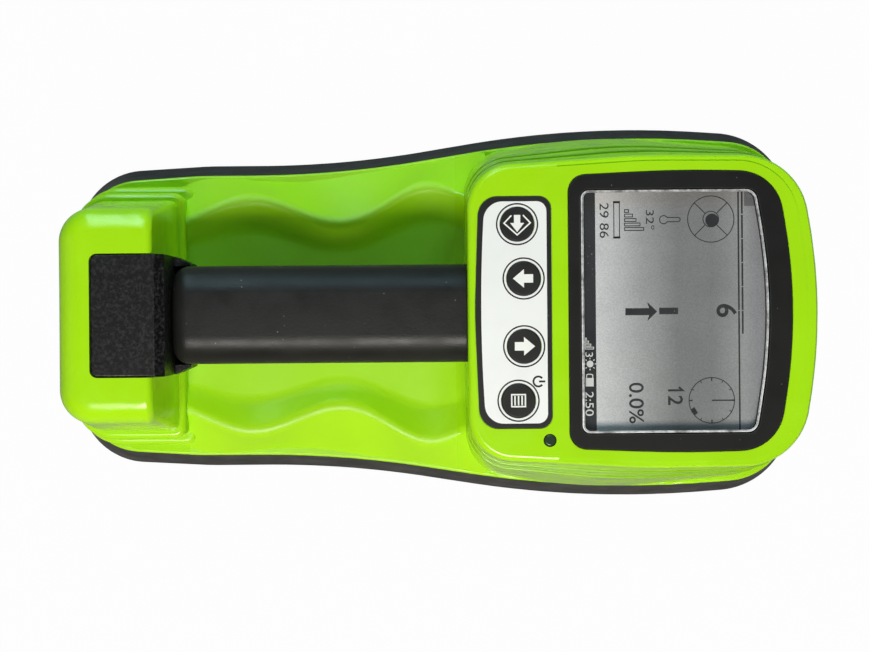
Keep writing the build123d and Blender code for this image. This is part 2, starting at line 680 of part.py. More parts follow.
with BuildPart() as upper_housing:
    extrude(mirrored_outline(rim_corners, rim_z), amount=lip_height)
    fillet(level_edges(upper_housing, lip_z, 0), lip_radius)
    # Rear block on its two plinth steps, all with rounded edges, and cut off flat at its front wall
    plinth_levels = (0.0,) + plinth_heights
    for step, (low, high) in zip((2, 1), zip(plinth_levels, plinth_levels[1:])):
        extrude(mirrored_outline(plinth_corners(step), lip_z + low), amount=high - low)
        fillet(level_edges(upper_housing, lip_z + high, 0), plinth_edge_radius)
    loft([mirrored_outline(rear_block_corners(*rear_foot, rear_overrun), lip_z + plinth_levels[-1]),
          mirrored_outline(rear_block_corners(*rear_top, rear_overrun), rear_top_z)], ruled=True)
    fillet(level_edges(upper_housing, rear_top_z, 0), rear_block_edge_radius)
    with Locations((rear_front_x, 0, lip_z + plinth_levels[-1])):
        Box(2 * rear_overrun, rear_block_width, pod_height + rear_block_rise, align=(MIN, CENTER, MIN),
            mode=Mode.SUBTRACT)
    wall_limits = (rear_front_x - level_slack, rear_front_x + level_slack)
    front_wall = upper_housing.faces().filter_by_position(Axis.X, *wall_limits)
    fillet(front_wall.edges().sort_by(Axis.Z)[1:], rear_block_front_edge_radius)
    # Pod in three tiers, each stepped in from the one below
    pod_levels = (0.0,) + pod_ledge_heights + (pod_height,)
    half_ledge_share = pod_ledge / 2 / (pod_foot_corners[1][1] - pod_top_corners[1][1])
    for level, (low, high) in enumerate(zip(pod_levels, pod_levels[1:])):
        low_share = low / pod_height + (half_ledge_share if level > 0 else 0)
        high_share = high / pod_height - (half_ledge_share if high < pod_height else 0)
        low_corners = between(pod_foot_corners, pod_top_corners, low_share)
        high_corners = between(pod_foot_corners, pod_top_corners, high_share)
        loft([mirrored_outline(low_corners, lip_z + low),
              mirrored_outline(high_corners, lip_z + high)], ruled=True)
        edge_radius = ledge_edge_radius if high < pod_height else pod_edge_radius
        fillet(level_edges(upper_housing, lip_z + high, -1), edge_radius)
    loft([pocket_section(station) for station in waist_stations])
    # Rebate outside the display deck
    with Locations((pod_rebate_rear_x, 0, pod_top_z)):
        Box(pod_length, shoulder_width, pod_rebate_depth, align=(MIN, CENTER, MAX), mode=Mode.SUBTRACT)
    extrude(mirrored_outline(display_deck_corners, pod_top_z), amount=-pod_rebate_depth)
    add(shell_hollow.part, mode=Mode.SUBTRACT)
    # Spigots on the screw bosses reach past the gasket to the columns of the lower housing
    with Locations(*[(x, y, split_z) for x, y in housing_screw_spots]):
        Cylinder(housing_spigot_radius, 2 * gasket_thickness, align=(CENTER, CENTER, MIN))
        Cylinder(housing_hole_radius, housing_screw_grip + tip_gap, align=(CENTER, CENTER, MIN),
                 mode=Mode.SUBTRACT)
    # Handle: seat for the end block, its screw holes, and the hole for the core rod
    extrude(mirrored_outline([
        (end_rear_x - seat_gap, end_block_width / 2 + seat_gap, end_block_radius + seat_gap),
        (end_rear_x + rear_block_length, end_block_width / 2 + seat_gap, 0),
    ], end_bottom_z), amount=end_block_height, mode=Mode.SUBTRACT)
    with Locations(*[(x, y, end_screw_z) for x, y in mirrored_spots(end_rear_x, end_screw_spread / 2)]):
        Cylinder(small_hole_radius, 4 * wall, rotation=(0, 90, 0), mode=Mode.SUBTRACT)
    with Locations((pod_rear_x, 0, handle_z)):
        Cylinder(core_radius + hole_gap, 4 * wall + 2 * core_pad_thickness, rotation=(0, 90, 0),
                 mode=Mode.SUBTRACT)
    # Display seat and opening
    extrude(mirrored_outline(bezel_corners, bezel_seat_z, -seat_gap), amount=bezel_thickness,
            mode=Mode.SUBTRACT)
    extrude(mirrored_outline(window_corners, pod_top_z - 2 * wall, -bezel_collar_width - seat_gap),
            amount=2 * wall, mode=Mode.SUBTRACT)
    # Keypad seat, key pockets and LED hole
    extrude(mirrored_outline(overlay_corners, pod_top_z - overlay_seat_depth, -seat_gap),
            amount=overlay_thickness, mode=Mode.SUBTRACT)
    with Locations(*[(x, y, key_pocket_z) for x, y in key_spots]):
        Cylinder(key_radius + 2 * seat_gap, wall, align=(CENTER, CENTER, MIN), mode=Mode.SUBTRACT)
        Cylinder(key_stem_radius + hole_gap, 2 * wall, mode=Mode.SUBTRACT)
    with Locations((*led_spot, pod_top_z)):
        Cylinder(led_radius + hole_gap, 4 * wall, mode=Mode.SUBTRACT)
    # Blind holes in the bosses under the pod top
    with Locations(*[(x, y, keypad_board_z) for x, y in keypad_boss_spots]):
        Cylinder(small_hole_radius, small_screw_grip, align=(CENTER, CENTER, MIN), mode=Mode.SUBTRACT)
    with Locations(*[(x, y, frame_top_z) for x, y in display_boss_spots]):
        Cylinder(small_hole_radius, small_screw_grip, align=(CENTER, CENTER, MIN), mode=Mode.SUBTRACT)

with BuildPart() as housing_screws:
    with Locations(*[Location((x, y, screw_seat_z), (180, 0, 0)) for x, y in housing_screw_spots]):
        add(screw(housing_screw_radius, split_z + housing_screw_grip - screw_seat_z, housing_head_radius,
                  housing_head_radius))

# Handle: a steel rod from the pod wall to the end block clamps the hollow grip between them
core_rear_x = end_front_x - end_block_front_wall - washer_thickness - nut_thickness - core_end_length
core_seat_x = pod_rear_x + wall + core_pad_thickness
core_front_x = core_seat_x + washer_thickness + nut_thickness + core_end_length
rod_plane = Plane((core_rear_x, 0, handle_z), x_dir=(0, 1, 0), z_dir=(1, 0, 0))
grip_plane = Plane((end_face_x, 0, handle_z), x_dir=(0, 1, 0), z_dir=(1, 0, 0))
washer_places = (end_front_x - end_block_front_wall - washer_thickness, core_seat_x)
nut_places = (washer_places[0] - nut_thickness, core_seat_x + washer_thickness)

with BuildPart() as handle_core:
    with BuildSketch(rod_plane):
        Circle(core_radius)
    extrude(amount=core_front_x - core_rear_x)
    chamfer(handle_core.edges(), core_chamfer)

with BuildPart() as handle_grip:
    with BuildSketch(grip_plane):
        RectangleRounded(grip_width, grip_height, grip_edge_radius)
        Circle(core_radius + hole_gap, mode=Mode.SUBTRACT)
    extrude(amount=pod_rear_x - end_face_x)
    fillet(handle_grip.faces().sort_by(Axis.X)[0].outer_wire().edges(), grip_end_radius)

with BuildPart() as handle_washers:
    for place in washer_places:
        with BuildSketch(Plane((place, 0, handle_z), x_dir=(0, 1, 0), z_dir=(1, 0, 0))):
            Circle(washer_radius)
            Circle(core_radius + hole_gap, mode=Mode.SUBTRACT)
        extrude(amount=washer_thickness)

with BuildPart() as handle_nuts:
    for place in nut_places:
        with BuildSketch(Plane((place, 0, handle_z), x_dir=(0, 1, 0), z_dir=(1, 0, 0))):
            RegularPolygon(nut_radius, 6)
            Circle(core_radius + hole_gap, mode=Mode.SUBTRACT)
        extrude(amount=nut_thickness)

# End block: a deep cap open underneath, with a tapered cup in front that the grip's end sits in
end_cup_z = handle_z + end_cup_rise
end_bevel_z = rear_top_z - end_block_bevel_drop
with BuildPart() as end_block:
    with BuildSketch(Plane.XZ):
        with BuildLine():
            Polyline(
                (end_rear_x, end_bottom_z),
                (end_front_x, end_bottom_z),
                (end_front_x, end_cup_z),
                (end_face_x, end_cup_z),
                (end_face_x, end_bevel_z),
                (end_face_x - end_block_bevel, rear_top_z),
                (end_rear_x, rear_top_z),
                close=True,
            )
        make_face()
    extrude(amount=end_block_width / 2, both=True)
    with BuildSketch(Plane.XY.offset(end_bottom_z)):
        add(mirrored_outline([
            (end_rear_x, end_block_width / 2, end_block_radius),
            (end_face_x, end_block_width / 2, end_block_radius),
            (end_front_x, grip_width / 2 + end_cup_wall, 0),
        ], 0))
    extrude(amount=end_block_height, mode=Mode.INTERSECT)
    fillet(end_block.faces().sort_by(Axis.Z)[-1].edges(), end_block_edge_radius)
    with BuildSketch(grip_plane):
        RectangleRounded(grip_width + 2 * seat_gap, grip_height + 2 * seat_gap, grip_edge_radius + seat_gap)
    extrude(amount=2 * end_cup_length, mode=Mode.SUBTRACT)
    with Locations((end_rear_x + end_block_wall, 0, end_bottom_z)):
        Box(end_block_length - end_block_wall - end_block_front_wall, end_block_width - 2 * end_block_wall,
            end_block_height - end_block_wall, align=(MIN, CENTER, MIN), mode=Mode.SUBTRACT)
    with Locations((end_front_x, 0, handle_z)):
        Cylinder(core_radius + hole_gap, 3 * end_block_front_wall, rotation=(0, 90, 0), mode=Mode.SUBTRACT)
    with Locations(*[(x, y, end_screw_z) for x, y in mirrored_spots(end_rear_x, end_screw_spread / 2)]):
        Cylinder(small_hole_radius, 3 * end_block_wall, rotation=(0, 90, 0), mode=Mode.SUBTRACT)

with BuildPart() as telemetry_aerial:
    with Locations((end_rear_x + end_block_wall + aerial_puck_gap, 0, rear_top_z - end_block_wall)):
        Box(aerial_puck_length, aerial_puck_width, aerial_puck_thickness, align=(MIN, CENTER, MAX))

with BuildPart() as end_block_screws:
    for x, y in mirrored_spots(end_rear_x - seat_gap - wall, end_screw_spread / 2):
        with Locations(Location((x, y, end_screw_z), (0, -90, 0))):
            add(screw(small_screw_radius, wall + seat_gap + end_block_wall, small_head_radius,
                      small_head_height))

# Display stack under the bezel
with BuildPart() as display_bezel:
    extrude(mirrored_outline(bezel_corners, bezel_seat_z), amount=bezel_thickness)
    fillet(display_bezel.faces().sort_by(Axis.Z)[-1].edges(), bezel_thickness / 4)
    extrude(mirrored_outline(window_corners, collar_bottom_z, -bezel_collar_width),
            amount=bezel_seat_z - collar_bottom_z)
    extrude(mirrored_outline(window_corners, collar_bottom_z, window_ledge), amount=2 * bezel_collar_depth,
            mode=Mode.SUBTRACT)
    extrude(mirrored_outline(window_corners, bezel_top_z - window_sink - window_thickness, -seat_gap),
            amount=2 * bezel_thickness, mode=Mode.SUBTRACT)

with BuildPart() as display_window:
    extrude(mirrored_outline(window_corners, bezel_top_z - window_sink), amount=-window_thickness)

with BuildPart() as window_gasket:
    extrude(mirrored_outline(window_corners, lcd_top_z, -bezel_collar_width), amount=window_gasket_thickness)
    extrude(mirrored_outline(window_corners, lcd_top_z, window_ledge), amount=window_gasket_thickness,
            mode=Mode.SUBTRACT)

lcd_x = window_rear_x + window_length / 2
with BuildPart() as lcd_panel:
    with Locations((lcd_x, 0, lcd_top_z)):
        Box(lcd_length, lcd_width, lcd_thickness, align=(CENTER, CENTER, MAX))

with BuildPart() as lcd_backlight:
    with Locations((lcd_x, 0, backlight_top_z)):
        Box(lcd_length - 2 * backlight_margin, lcd_width - 2 * backlight_margin, backlight_thickness,
            align=(CENTER, CENTER, MAX))

frame_rear_x = pod_rear_x + display_rear_boss[0] - 2 * display_boss_radius
frame_front_x = pod_rear_x + display_front_boss[0] + frame_plate_overhang
board_front_x = lcd_x + board_length / 2
board_spots = []
for x in (lcd_x - board_length / 2 + board_hole_inset, board_front_x - board_hole_inset):
    board_spots += mirrored_spots(x, board_width / 2 - board_hole_inset)

with BuildPart() as display_frame:
    extrude(mirrored_outline([
        (frame_rear_x, frame_plate_rear_width / 2, 2 * display_boss_radius),
        (frame_rear_x + 4 * display_boss_radius, frame_plate_rear_width / 2, display_boss_radius),
        (frame_rear_x + 6 * display_boss_radius, frame_plate_front_width / 2, display_boss_radius),
        (frame_front_x, frame_plate_front_width / 2, 3 * display_boss_radius),
    ], frame_bottom_z), amount=frame_plate_thickness)
    with Locations(*[(x, y, frame_bottom_z) for x, y in display_boss_spots + board_spots]):
        Cylinder(small_hole_radius, 3 * frame_plate_thickness, mode=Mode.SUBTRACT)

with BuildPart() as display_screws:
    with Locations(*[Location((x, y, frame_bottom_z), (180, 0, 0)) for x, y in display_boss_spots]):
        add(screw(small_screw_radius, small_screw_grip, small_head_radius, small_head_height))

board_top_z = frame_bottom_z - spacer_height
with BuildPart() as board_spacers:
    with Locations(*[(x, y, board_top_z) for x, y in board_spots]):
        Cylinder(spacer_radius, spacer_height, align=(CENTER, CENTER, MIN))
        Cylinder(small_hole_radius, small_screw_grip, align=(CENTER, CENTER, MIN), mode=Mode.SUBTRACT)

with BuildPart() as main_board:
    with Locations((lcd_x, 0, board_top_z)):
        Box(board_length, board_width, board_thickness, align=(CENTER, CENTER, MAX))
    with Locations(*[(x, y, board_top_z) for x, y in board_spots]):
        Cylinder(small_hole_radius, 3 * board_thickness, mode=Mode.SUBTRACT)

with BuildPart() as board_screws:
    with Locations(*[Location((x, y, board_top_z - board_thickness), (180, 0, 0)) for x, y in board_spots]):
        add(screw(small_screw_radius, small_screw_grip, small_head_radius, small_head_height))

with BuildPart() as beeper:
    with Locations((lcd_x - beeper_spot[0], beeper_spot[1], board_top_z)):
        Cylinder(beeper_radius, beeper_height, align=(CENTER, CENTER, MIN))
        Cylinder(beeper_radius / 5, 3 * beeper_height, mode=Mode.SUBTRACT)

with BuildPart() as board_chips:
    for index, (length, width) in enumerate(chip_sizes):
        with Locations((lcd_x + index * chip_pitch - chip_pitch, -chip_pitch, board_top_z)):
            Box(length, width, chip_thickness, align=(CENTER, CENTER, MIN))

# Keypad: sheet overlay with four keys through it, each above a switch on the keypad board
with BuildPart() as keypad_overlay:
    extrude(mirrored_outline(overlay_corners, pod_top_z - overlay_seat_depth), amount=overlay_thickness)
    with Locations(*[(x, y, pod_top_z) for x, y in key_spots]):
        Cylinder(key_radius + seat_gap, 2 * wall, mode=Mode.SUBTRACT)

switch_top_z = keypad_board_z + switch_height
stem_bottom_z = switch_top_z + plunger_height + key_travel + seat_gap


def key(spot):
    """Round key with a stem that reaches down to its switch."""
    x, y = spot
    with BuildPart() as body:
        with Locations((x, y, key_base_z)):
            Cylinder(key_radius, key_body_height, align=(CENTER, CENTER, MIN))
        fillet(body.faces().sort_by(Axis.Z)[-1].edges(), key_rise)
        with Locations((x, y, key_base_z)):
            Cylinder(key_stem_radius, key_base_z - stem_bottom_z, align=(CENTER, CENTER, MAX))
    return body.part


with BuildPart() as target_key:
    add(key(key_spots[0]))

with BuildPart() as back_key:
    add(key(key_spots[1]))

with BuildPart() as forward_key:
    add(key(key_spots[2]))

with BuildPart() as menu_key:
    add(key(key_spots[3]))

with BuildPart() as keypad_board:
    with Locations((pod_rear_x + keypad_board_distance, 0, keypad_board_z)):
        Box(keypad_board_length, keypad_board_width, board_thickness, align=(MIN, CENTER, MAX))
    with Locations(*[(x, y, keypad_board_z) for x, y in keypad_boss_spots]):
        Cylinder(small_hole_radius, 3 * board_thickness, mode=Mode.SUBTRACT)

with BuildPart() as key_switches:
    with Locations(*[(x, y, keypad_board_z) for x, y in key_spots]):
        Box(switch_size, switch_size, switch_height, align=(CENTER, CENTER, MIN))
        Cylinder(plunger_radius, switch_height + plunger_height, align=(CENTER, CENTER, MIN))

with BuildPart() as keypad_screws:
    keypad_screw_z = keypad_board_z - board_thickness
    with Locations(*[Location((x, y, keypad_screw_z), (180, 0, 0)) for x, y in keypad_boss_spots]):
        add(screw(small_screw_radius, small_screw_grip, small_head_radius, small_head_height))

with BuildPart() as status_led:
    with Locations((*led_spot, pod_inner_z)):
        Cylinder(led_flange_radius, led_flange_thickness, align=(CENTER, CENTER, MAX))
        Cylinder(led_radius, wall, align=(CENTER, CENTER, MIN))
    fillet(status_led.faces().sort_by(Axis.Z)[-1].edges(), led_radius / 3)

# Aerials: three wound ferrite rods at right angles, held in one cradle on the tray floor
with BuildPart() as aerial_cradle:
    with Locations((cradle_rear_x, 0, floor_z)):
        Box(cradle_front_x - cradle_rear_x, cradle_width, cradle_thickness, align=(MIN, CENTER, MIN))
    with Locations((cross_rod_x, 0, floor_z)):
        Box(2 * eye_radius, cross_rod_length, cradle_thickness, align=(CENTER, CENTER, MIN))
        with Locations((0, cross_rod_length / 2, 0), (0, -cross_rod_length / 2 + eye_thickness, 0)):
            Box(2 * eye_radius, eye_thickness, rod_height + eye_radius, align=(CENTER, MAX, MIN))
    with Locations((long_rod_x, 0, floor_z), (long_rod_x + long_rod_length - eye_thickness, 0, floor_z)):
        Box(eye_thickness, 2 * eye_radius, rod_height + eye_radius, align=(MIN, CENTER, MIN))
    with Locations((upright_rod_x, 0, cradle_top_z)):
        Cylinder(eye_radius, socket_depth, align=(CENTER, CENTER, MIN))
        Cylinder(rod_radius + hole_gap, socket_depth, align=(CENTER, CENTER, MIN), mode=Mode.SUBTRACT)
    with Locations((cross_rod_x, 0, rod_z)):
        Cylinder(rod_radius + hole_gap, 2 * cross_rod_length, rotation=(90, 0, 0), mode=Mode.SUBTRACT)
    with Locations((long_rod_x - eye_thickness, 0, rod_z)):
        Cylinder(rod_radius + hole_gap, long_rod_length + 2 * eye_thickness, rotation=(0, 90, 0),
                 align=(CENTER, CENTER, MIN), mode=Mode.SUBTRACT)
    with Locations(*[(x, y, cradle_top_z) for x, y in cradle_screw_spots]):
        Cylinder(small_hole_radius, 3 * cradle_thickness, mode=Mode.SUBTRACT)

coil_inner_radius = rod_radius + hole_gap


def coil(length_of_rod):
    """Winding as a plain sleeve along Z, centred on the origin, a margin short of each end of its rod."""
    length = length_of_rod - 2 * coil_margin
    with BuildPart() as body:
        Cylinder(coil_inner_radius + coil_thickness, length)
        Cylinder(coil_inner_radius, length, mode=Mode.SUBTRACT)
    return body.part


along_x = Location((long_rod_x + long_rod_length / 2, 0, rod_z), (0, 90, 0))
along_y = Location((cross_rod_x, 0, rod_z), (90, 0, 0))
along_z = Location((upright_rod_x, 0, cradle_top_z + upright_rod_length / 2))

with BuildPart() as long_ferrite:
    with Locations(along_x):
        Cylinder(rod_radius, long_rod_length)

with BuildPart() as cross_ferrite:
    with Locations(along_y):
        Cylinder(rod_radius, cross_rod_length)

with BuildPart() as upright_ferrite:
    with Locations(along_z):
        Cylinder(rod_radius, upright_rod_length)

with BuildPart() as long_coil:
    with Locations(along_x):
        add(coil(long_rod_length))

with BuildPart() as cross_coil:
    with Locations(along_y):
        add(coil(cross_rod_length))

with BuildPart() as upright_coil:
    with Locations(along_z):
        add(coil(upright_rod_length))

with BuildPart() as cradle_screws:
    with Locations(*[(x, y, cradle_top_z) for x, y in cradle_screw_spots]):
        add(screw(small_screw_radius, cradle_thickness + cradle_screw_bite, small_head_radius,
                  small_head_height))

# Battery bay: a sleeve fixed behind the door frame, with sprung terminals on its end wall
with BuildPart() as battery_bay:
    with Locations((door_inner_x, 0, pack_z)):
        Box(bay_front_x + bay_end_wall - door_inner_x,
            bay_inner_width + 2 * bay_wall, bay_inner_height + 2 * bay_wall,
            align=(MIN, CENTER, CENTER))
        Box(bay_front_x - door_inner_x, bay_inner_width, bay_inner_height, align=(MIN, CENTER, CENTER),
            mode=Mode.SUBTRACT)

terminal_spots = [(index * terminal_pitch, pack_z) for index in (-1, 0, 1)]
with BuildPart() as bay_terminals:
    with Locations(*[(bay_front_x, y, z) for y, z in terminal_spots]):
        Cylinder(terminal_radius, terminal_gap - contact_thickness - seat_gap, rotation=(0, 90, 0),
                 align=(CENTER, CENTER, MAX))

# Battery pack: case, cells and cap slide out together
with BuildPart() as battery_case:
    with Locations((cap_inner_x, 0, pack_z)):
        Box(case_length, case_width, case_height, align=(MIN, CENTER, CENTER))
        Box(case_length - case_wall, case_width - 2 * case_wall, case_height - 2 * case_wall,
            align=(MIN, CENTER, CENTER), mode=Mode.SUBTRACT)

with BuildPart() as battery_cells:
    cell_offsets = [(index - (cell_count - 1) / 2) * cell_pitch for index in range(cell_count)]
    with Locations(*[(case_front_x - case_wall, y, pack_z) for y in cell_offsets]):
        Cylinder(cell_radius, cell_length, rotation=(0, 90, 0), align=(CENTER, CENTER, MAX))

with BuildPart() as battery_contacts:
    with Locations(*[(case_front_x, y, z) for y, z in terminal_spots]):
        Cylinder(contact_radius, contact_thickness, rotation=(0, 90, 0), align=(CENTER, CENTER, MIN))

with BuildPart() as battery_cap:
    with Locations((cap_inner_x, 0, pack_z)):
        Box(cap_thickness, cap_width, cap_height, align=(MAX, CENTER, CENTER))
    fillet(battery_cap.faces().sort_by(Axis.X)[0].edges(), cap_edge_radius)
    with Locations((cap_inner_x, 0, pack_z)):
        Box(plug_length, case_width - 2 * (case_wall + seat_gap), case_height - 2 * (case_wall + seat_gap),
            align=(MIN, CENTER, CENTER))
    with Locations(*[(cap_outer_x, y, z) for y, z in thumbscrew_spots]):
        Cylinder(knob_radius + slide_gap, 2 * knob_sink, rotation=(0, 90, 0), mode=Mode.SUBTRACT)
        Cylinder(thumbscrew_radius + hole_gap, 3 * cap_thickness, rotation=(0, 90, 0), mode=Mode.SUBTRACT)

with BuildPart() as battery_seal:
    with BuildSketch(Plane((cap_inner_x, 0, pack_z), x_dir=(0, 1, 0), z_dir=(1, 0, 0))):
        Rectangle(bay_inner_width + 2 * seal_width, bay_inner_height + 2 * seal_width)
        Rectangle(bay_inner_width, bay_inner_height, mode=Mode.SUBTRACT)
    extrude(amount=seal_thickness)

knob_inner_x = cap_outer_x + knob_sink - seat_gap


def thumbscrew(spot):
    """Fluted knob and plain shank along X, turned by hand from the rear."""
    y, z = spot
    with BuildPart() as body:
        with BuildSketch(Plane((knob_inner_x, y, z), x_dir=(0, 1, 0), z_dir=(-1, 0, 0))):
            Circle(knob_radius)
            with PolarLocations(knob_radius, knob_flutes):
                Circle(flute_radius, mode=Mode.SUBTRACT)
        extrude(amount=knob_thickness)
        with Locations((knob_inner_x, y, z)):
            Cylinder(thumbscrew_radius, cap_seat_x - knob_inner_x + thumbscrew_length, rotation=(0, 90, 0),
                     align=(CENTER, CENTER, MIN))
    return body.part


def clip(spot):
    """Ring on a thumbscrew shank that keeps it in the cap."""
    y, z = spot
    with BuildPart() as body:
        with BuildSketch(Plane((cap_inner_x + seat_gap, y, z), x_dir=(0, 1, 0), z_dir=(1, 0, 0))):
            Circle(clip_radius)
            Circle(thumbscrew_radius + seat_gap / 3, mode=Mode.SUBTRACT)
        extrude(amount=clip_thickness)
    return body.part


with BuildPart() as left_thumbscrew:
    add(thumbscrew(thumbscrew_spots[0]))

with BuildPart() as right_thumbscrew:
    add(thumbscrew(thumbscrew_spots[1]))

with BuildPart() as left_screw_clip:
    add(clip(thumbscrew_spots[0]))

with BuildPart() as right_screw_clip:
    add(clip(thumbscrew_spots[1]))

pieces = {
    "lower_housing": lower_housing,
    "rubber_feet": rubber_feet,
    "housing_gasket": housing_gasket,
    "upper_housing": upper_housing,
    "housing_screws": housing_screws,
    "handle_core": handle_core,
    "handle_grip": handle_grip,
    "handle_washers": handle_washers,
    "handle_nuts": handle_nuts,
    "end_block": end_block,
    "telemetry_aerial": telemetry_aerial,
    "end_block_screws": end_block_screws,
    "display_bezel": display_bezel,
    "display_window": display_window,
    "window_gasket": window_gasket,
    "lcd_panel": lcd_panel,
    "lcd_backlight": lcd_backlight,
    "display_frame": display_frame,
    "display_screws": display_screws,
    "board_spacers": board_spacers,
    "main_board": main_board,
    "board_screws": board_screws,
    "beeper": beeper,
    "board_chips": board_chips,
    "keypad_overlay": keypad_overlay,
    "target_key": target_key,
    "back_key": back_key,
    "forward_key": forward_key,
    "menu_key": menu_key,
    "keypad_board": keypad_board,
    "key_switches": key_switches,
    "keypad_screws": keypad_screws,
    "status_led": status_led,
    "aerial_cradle": aerial_cradle,
    "long_ferrite": long_ferrite,
    "cross_ferrite": cross_ferrite,
    "upright_ferrite": upright_ferrite,
    "long_coil": long_coil,
    "cross_coil": cross_coil,
    "upright_coil": upright_coil,
    "cradle_screws": cradle_screws,
    "battery_bay": battery_bay,
    "bay_terminals": bay_terminals,
    "battery_case": battery_case,
    "battery_cells": battery_cells,
    "battery_contacts": battery_contacts,
    "battery_cap": battery_cap,
    "battery_seal": battery_seal,
    "left_thumbscrew": left_thumbscrew,
    "right_thumbscrew": right_thumbscrew,
    "left_screw_clip": left_screw_clip,
    "right_screw_clip": right_screw_clip,
}
for label, piece in pieces.items():
    piece.part.label = label
    export_step(piece.part, f"parts/{label}.step")
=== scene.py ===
import math

import bpy
import numpy as np
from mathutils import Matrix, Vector


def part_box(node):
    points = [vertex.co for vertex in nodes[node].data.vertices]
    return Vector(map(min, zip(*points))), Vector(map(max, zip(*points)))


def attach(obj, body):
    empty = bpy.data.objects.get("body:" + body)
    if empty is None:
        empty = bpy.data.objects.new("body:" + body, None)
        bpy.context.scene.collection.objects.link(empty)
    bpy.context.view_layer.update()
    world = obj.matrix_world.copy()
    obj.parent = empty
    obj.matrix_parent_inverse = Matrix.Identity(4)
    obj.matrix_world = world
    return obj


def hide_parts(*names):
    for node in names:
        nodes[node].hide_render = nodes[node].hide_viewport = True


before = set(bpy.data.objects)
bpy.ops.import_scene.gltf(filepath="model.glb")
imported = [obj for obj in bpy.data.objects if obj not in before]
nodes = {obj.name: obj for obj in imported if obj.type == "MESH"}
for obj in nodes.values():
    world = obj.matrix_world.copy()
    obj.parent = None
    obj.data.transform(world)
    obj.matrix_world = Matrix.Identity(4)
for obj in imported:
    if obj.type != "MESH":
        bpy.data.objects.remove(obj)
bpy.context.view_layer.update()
scene = bpy.context.scene
scene.view_settings.view_transform = "Standard"


# Lower housing: the black tray that carries everything, injection moulded in glass-filled nylon
# with a spark-eroded grain. It flares to a belt near the ground; the upper half screws onto its rim.
WELD_STEP = 1e-7


def welded(node, body, slot, finish, crease_degrees=28.0):
    """Copy of a CAD piece whose loose triangles are welded into one skin: corners at the same place become
    one corner, and an edge stays sharp where its two faces turn by more than the crease."""
    source = nodes[node].data
    corners = np.empty(3 * len(source.vertices))
    source.vertices.foreach_get("co", corners)
    corners = corners.reshape(-1, 3)
    order = np.empty(len(source.loops), dtype=np.int64)
    source.loops.foreach_get("vertex_index", order)
    steps = np.round(corners / WELD_STEP).astype(np.int64)
    first, same = np.unique(steps, axis=0, return_index=True, return_inverse=True)[1:]
    triangles = same.reshape(-1)[order].reshape(-1, 3)
    a, b, c = triangles.T
    whole = (a != b) & (b != c) & (c != a)
    skin = bpy.data.meshes.new(node + "_skin")
    skin.from_pydata(corners[first].tolist(), [], triangles[whole].tolist())
    skin.validate()
    skin.shade_smooth()
    skin.set_sharp_from_angle(angle=math.radians(crease_degrees))
    piece = bpy.data.objects.new(node + "_skin", skin)
    scene.collection.objects.link(piece)
    even = piece.modifiers.new("even_shading", "WEIGHTED_NORMAL")
    even.keep_sharp = True
    even.weight = 50
    return dressed(piece, body, slot, finish, node)


def dressed(piece, body, slot, finish, *replaced):
    """Gives a piece its finish and its body, and hides the CAD pieces that it stands for. The slot is not
    used.
    """
    piece.data.materials.append(finish)
    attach(piece, body)
    if replaced:
        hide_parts(*replaced)
    return piece


def new_finish(name, constants):
    """A new procedural finish, a maker of its nodes, which sets or links each named input of a node, and a
    filler of the shader's own inputs."""
    finish = bpy.data.materials.new(name)
    finish.use_nodes = True
    tree = finish.node_tree
    shader = tree.nodes["Principled BSDF"]

    def fill(node, inputs):
        for socket, value in inputs.items():
            if isinstance(value, bpy.types.NodeSocket):
                tree.links.new(value, node.inputs[socket])
            else:
                node.inputs[socket].default_value = value
        return node

    def make(kind, inputs=None, **settings):
        node = tree.nodes.new("ShaderNode" + kind)
        for setting, value in settings.items():
            setattr(node, setting, value)
        return fill(node, inputs or {})

    fill(shader, constants)
    return finish, make, lambda inputs: fill(shader, inputs)


def spread(make, value, start, end, low, high):
    """A value carried from the range start to end onto the range low to high, and held beyond its ends."""
    ends = {"From Min": start, "From Max": end, "To Min": low, "To Max": high}
    return make("MapRange", {"Value": value, **ends}).outputs["Result"]


DUST = (0.55, 0.55, 0.5, 1.0)


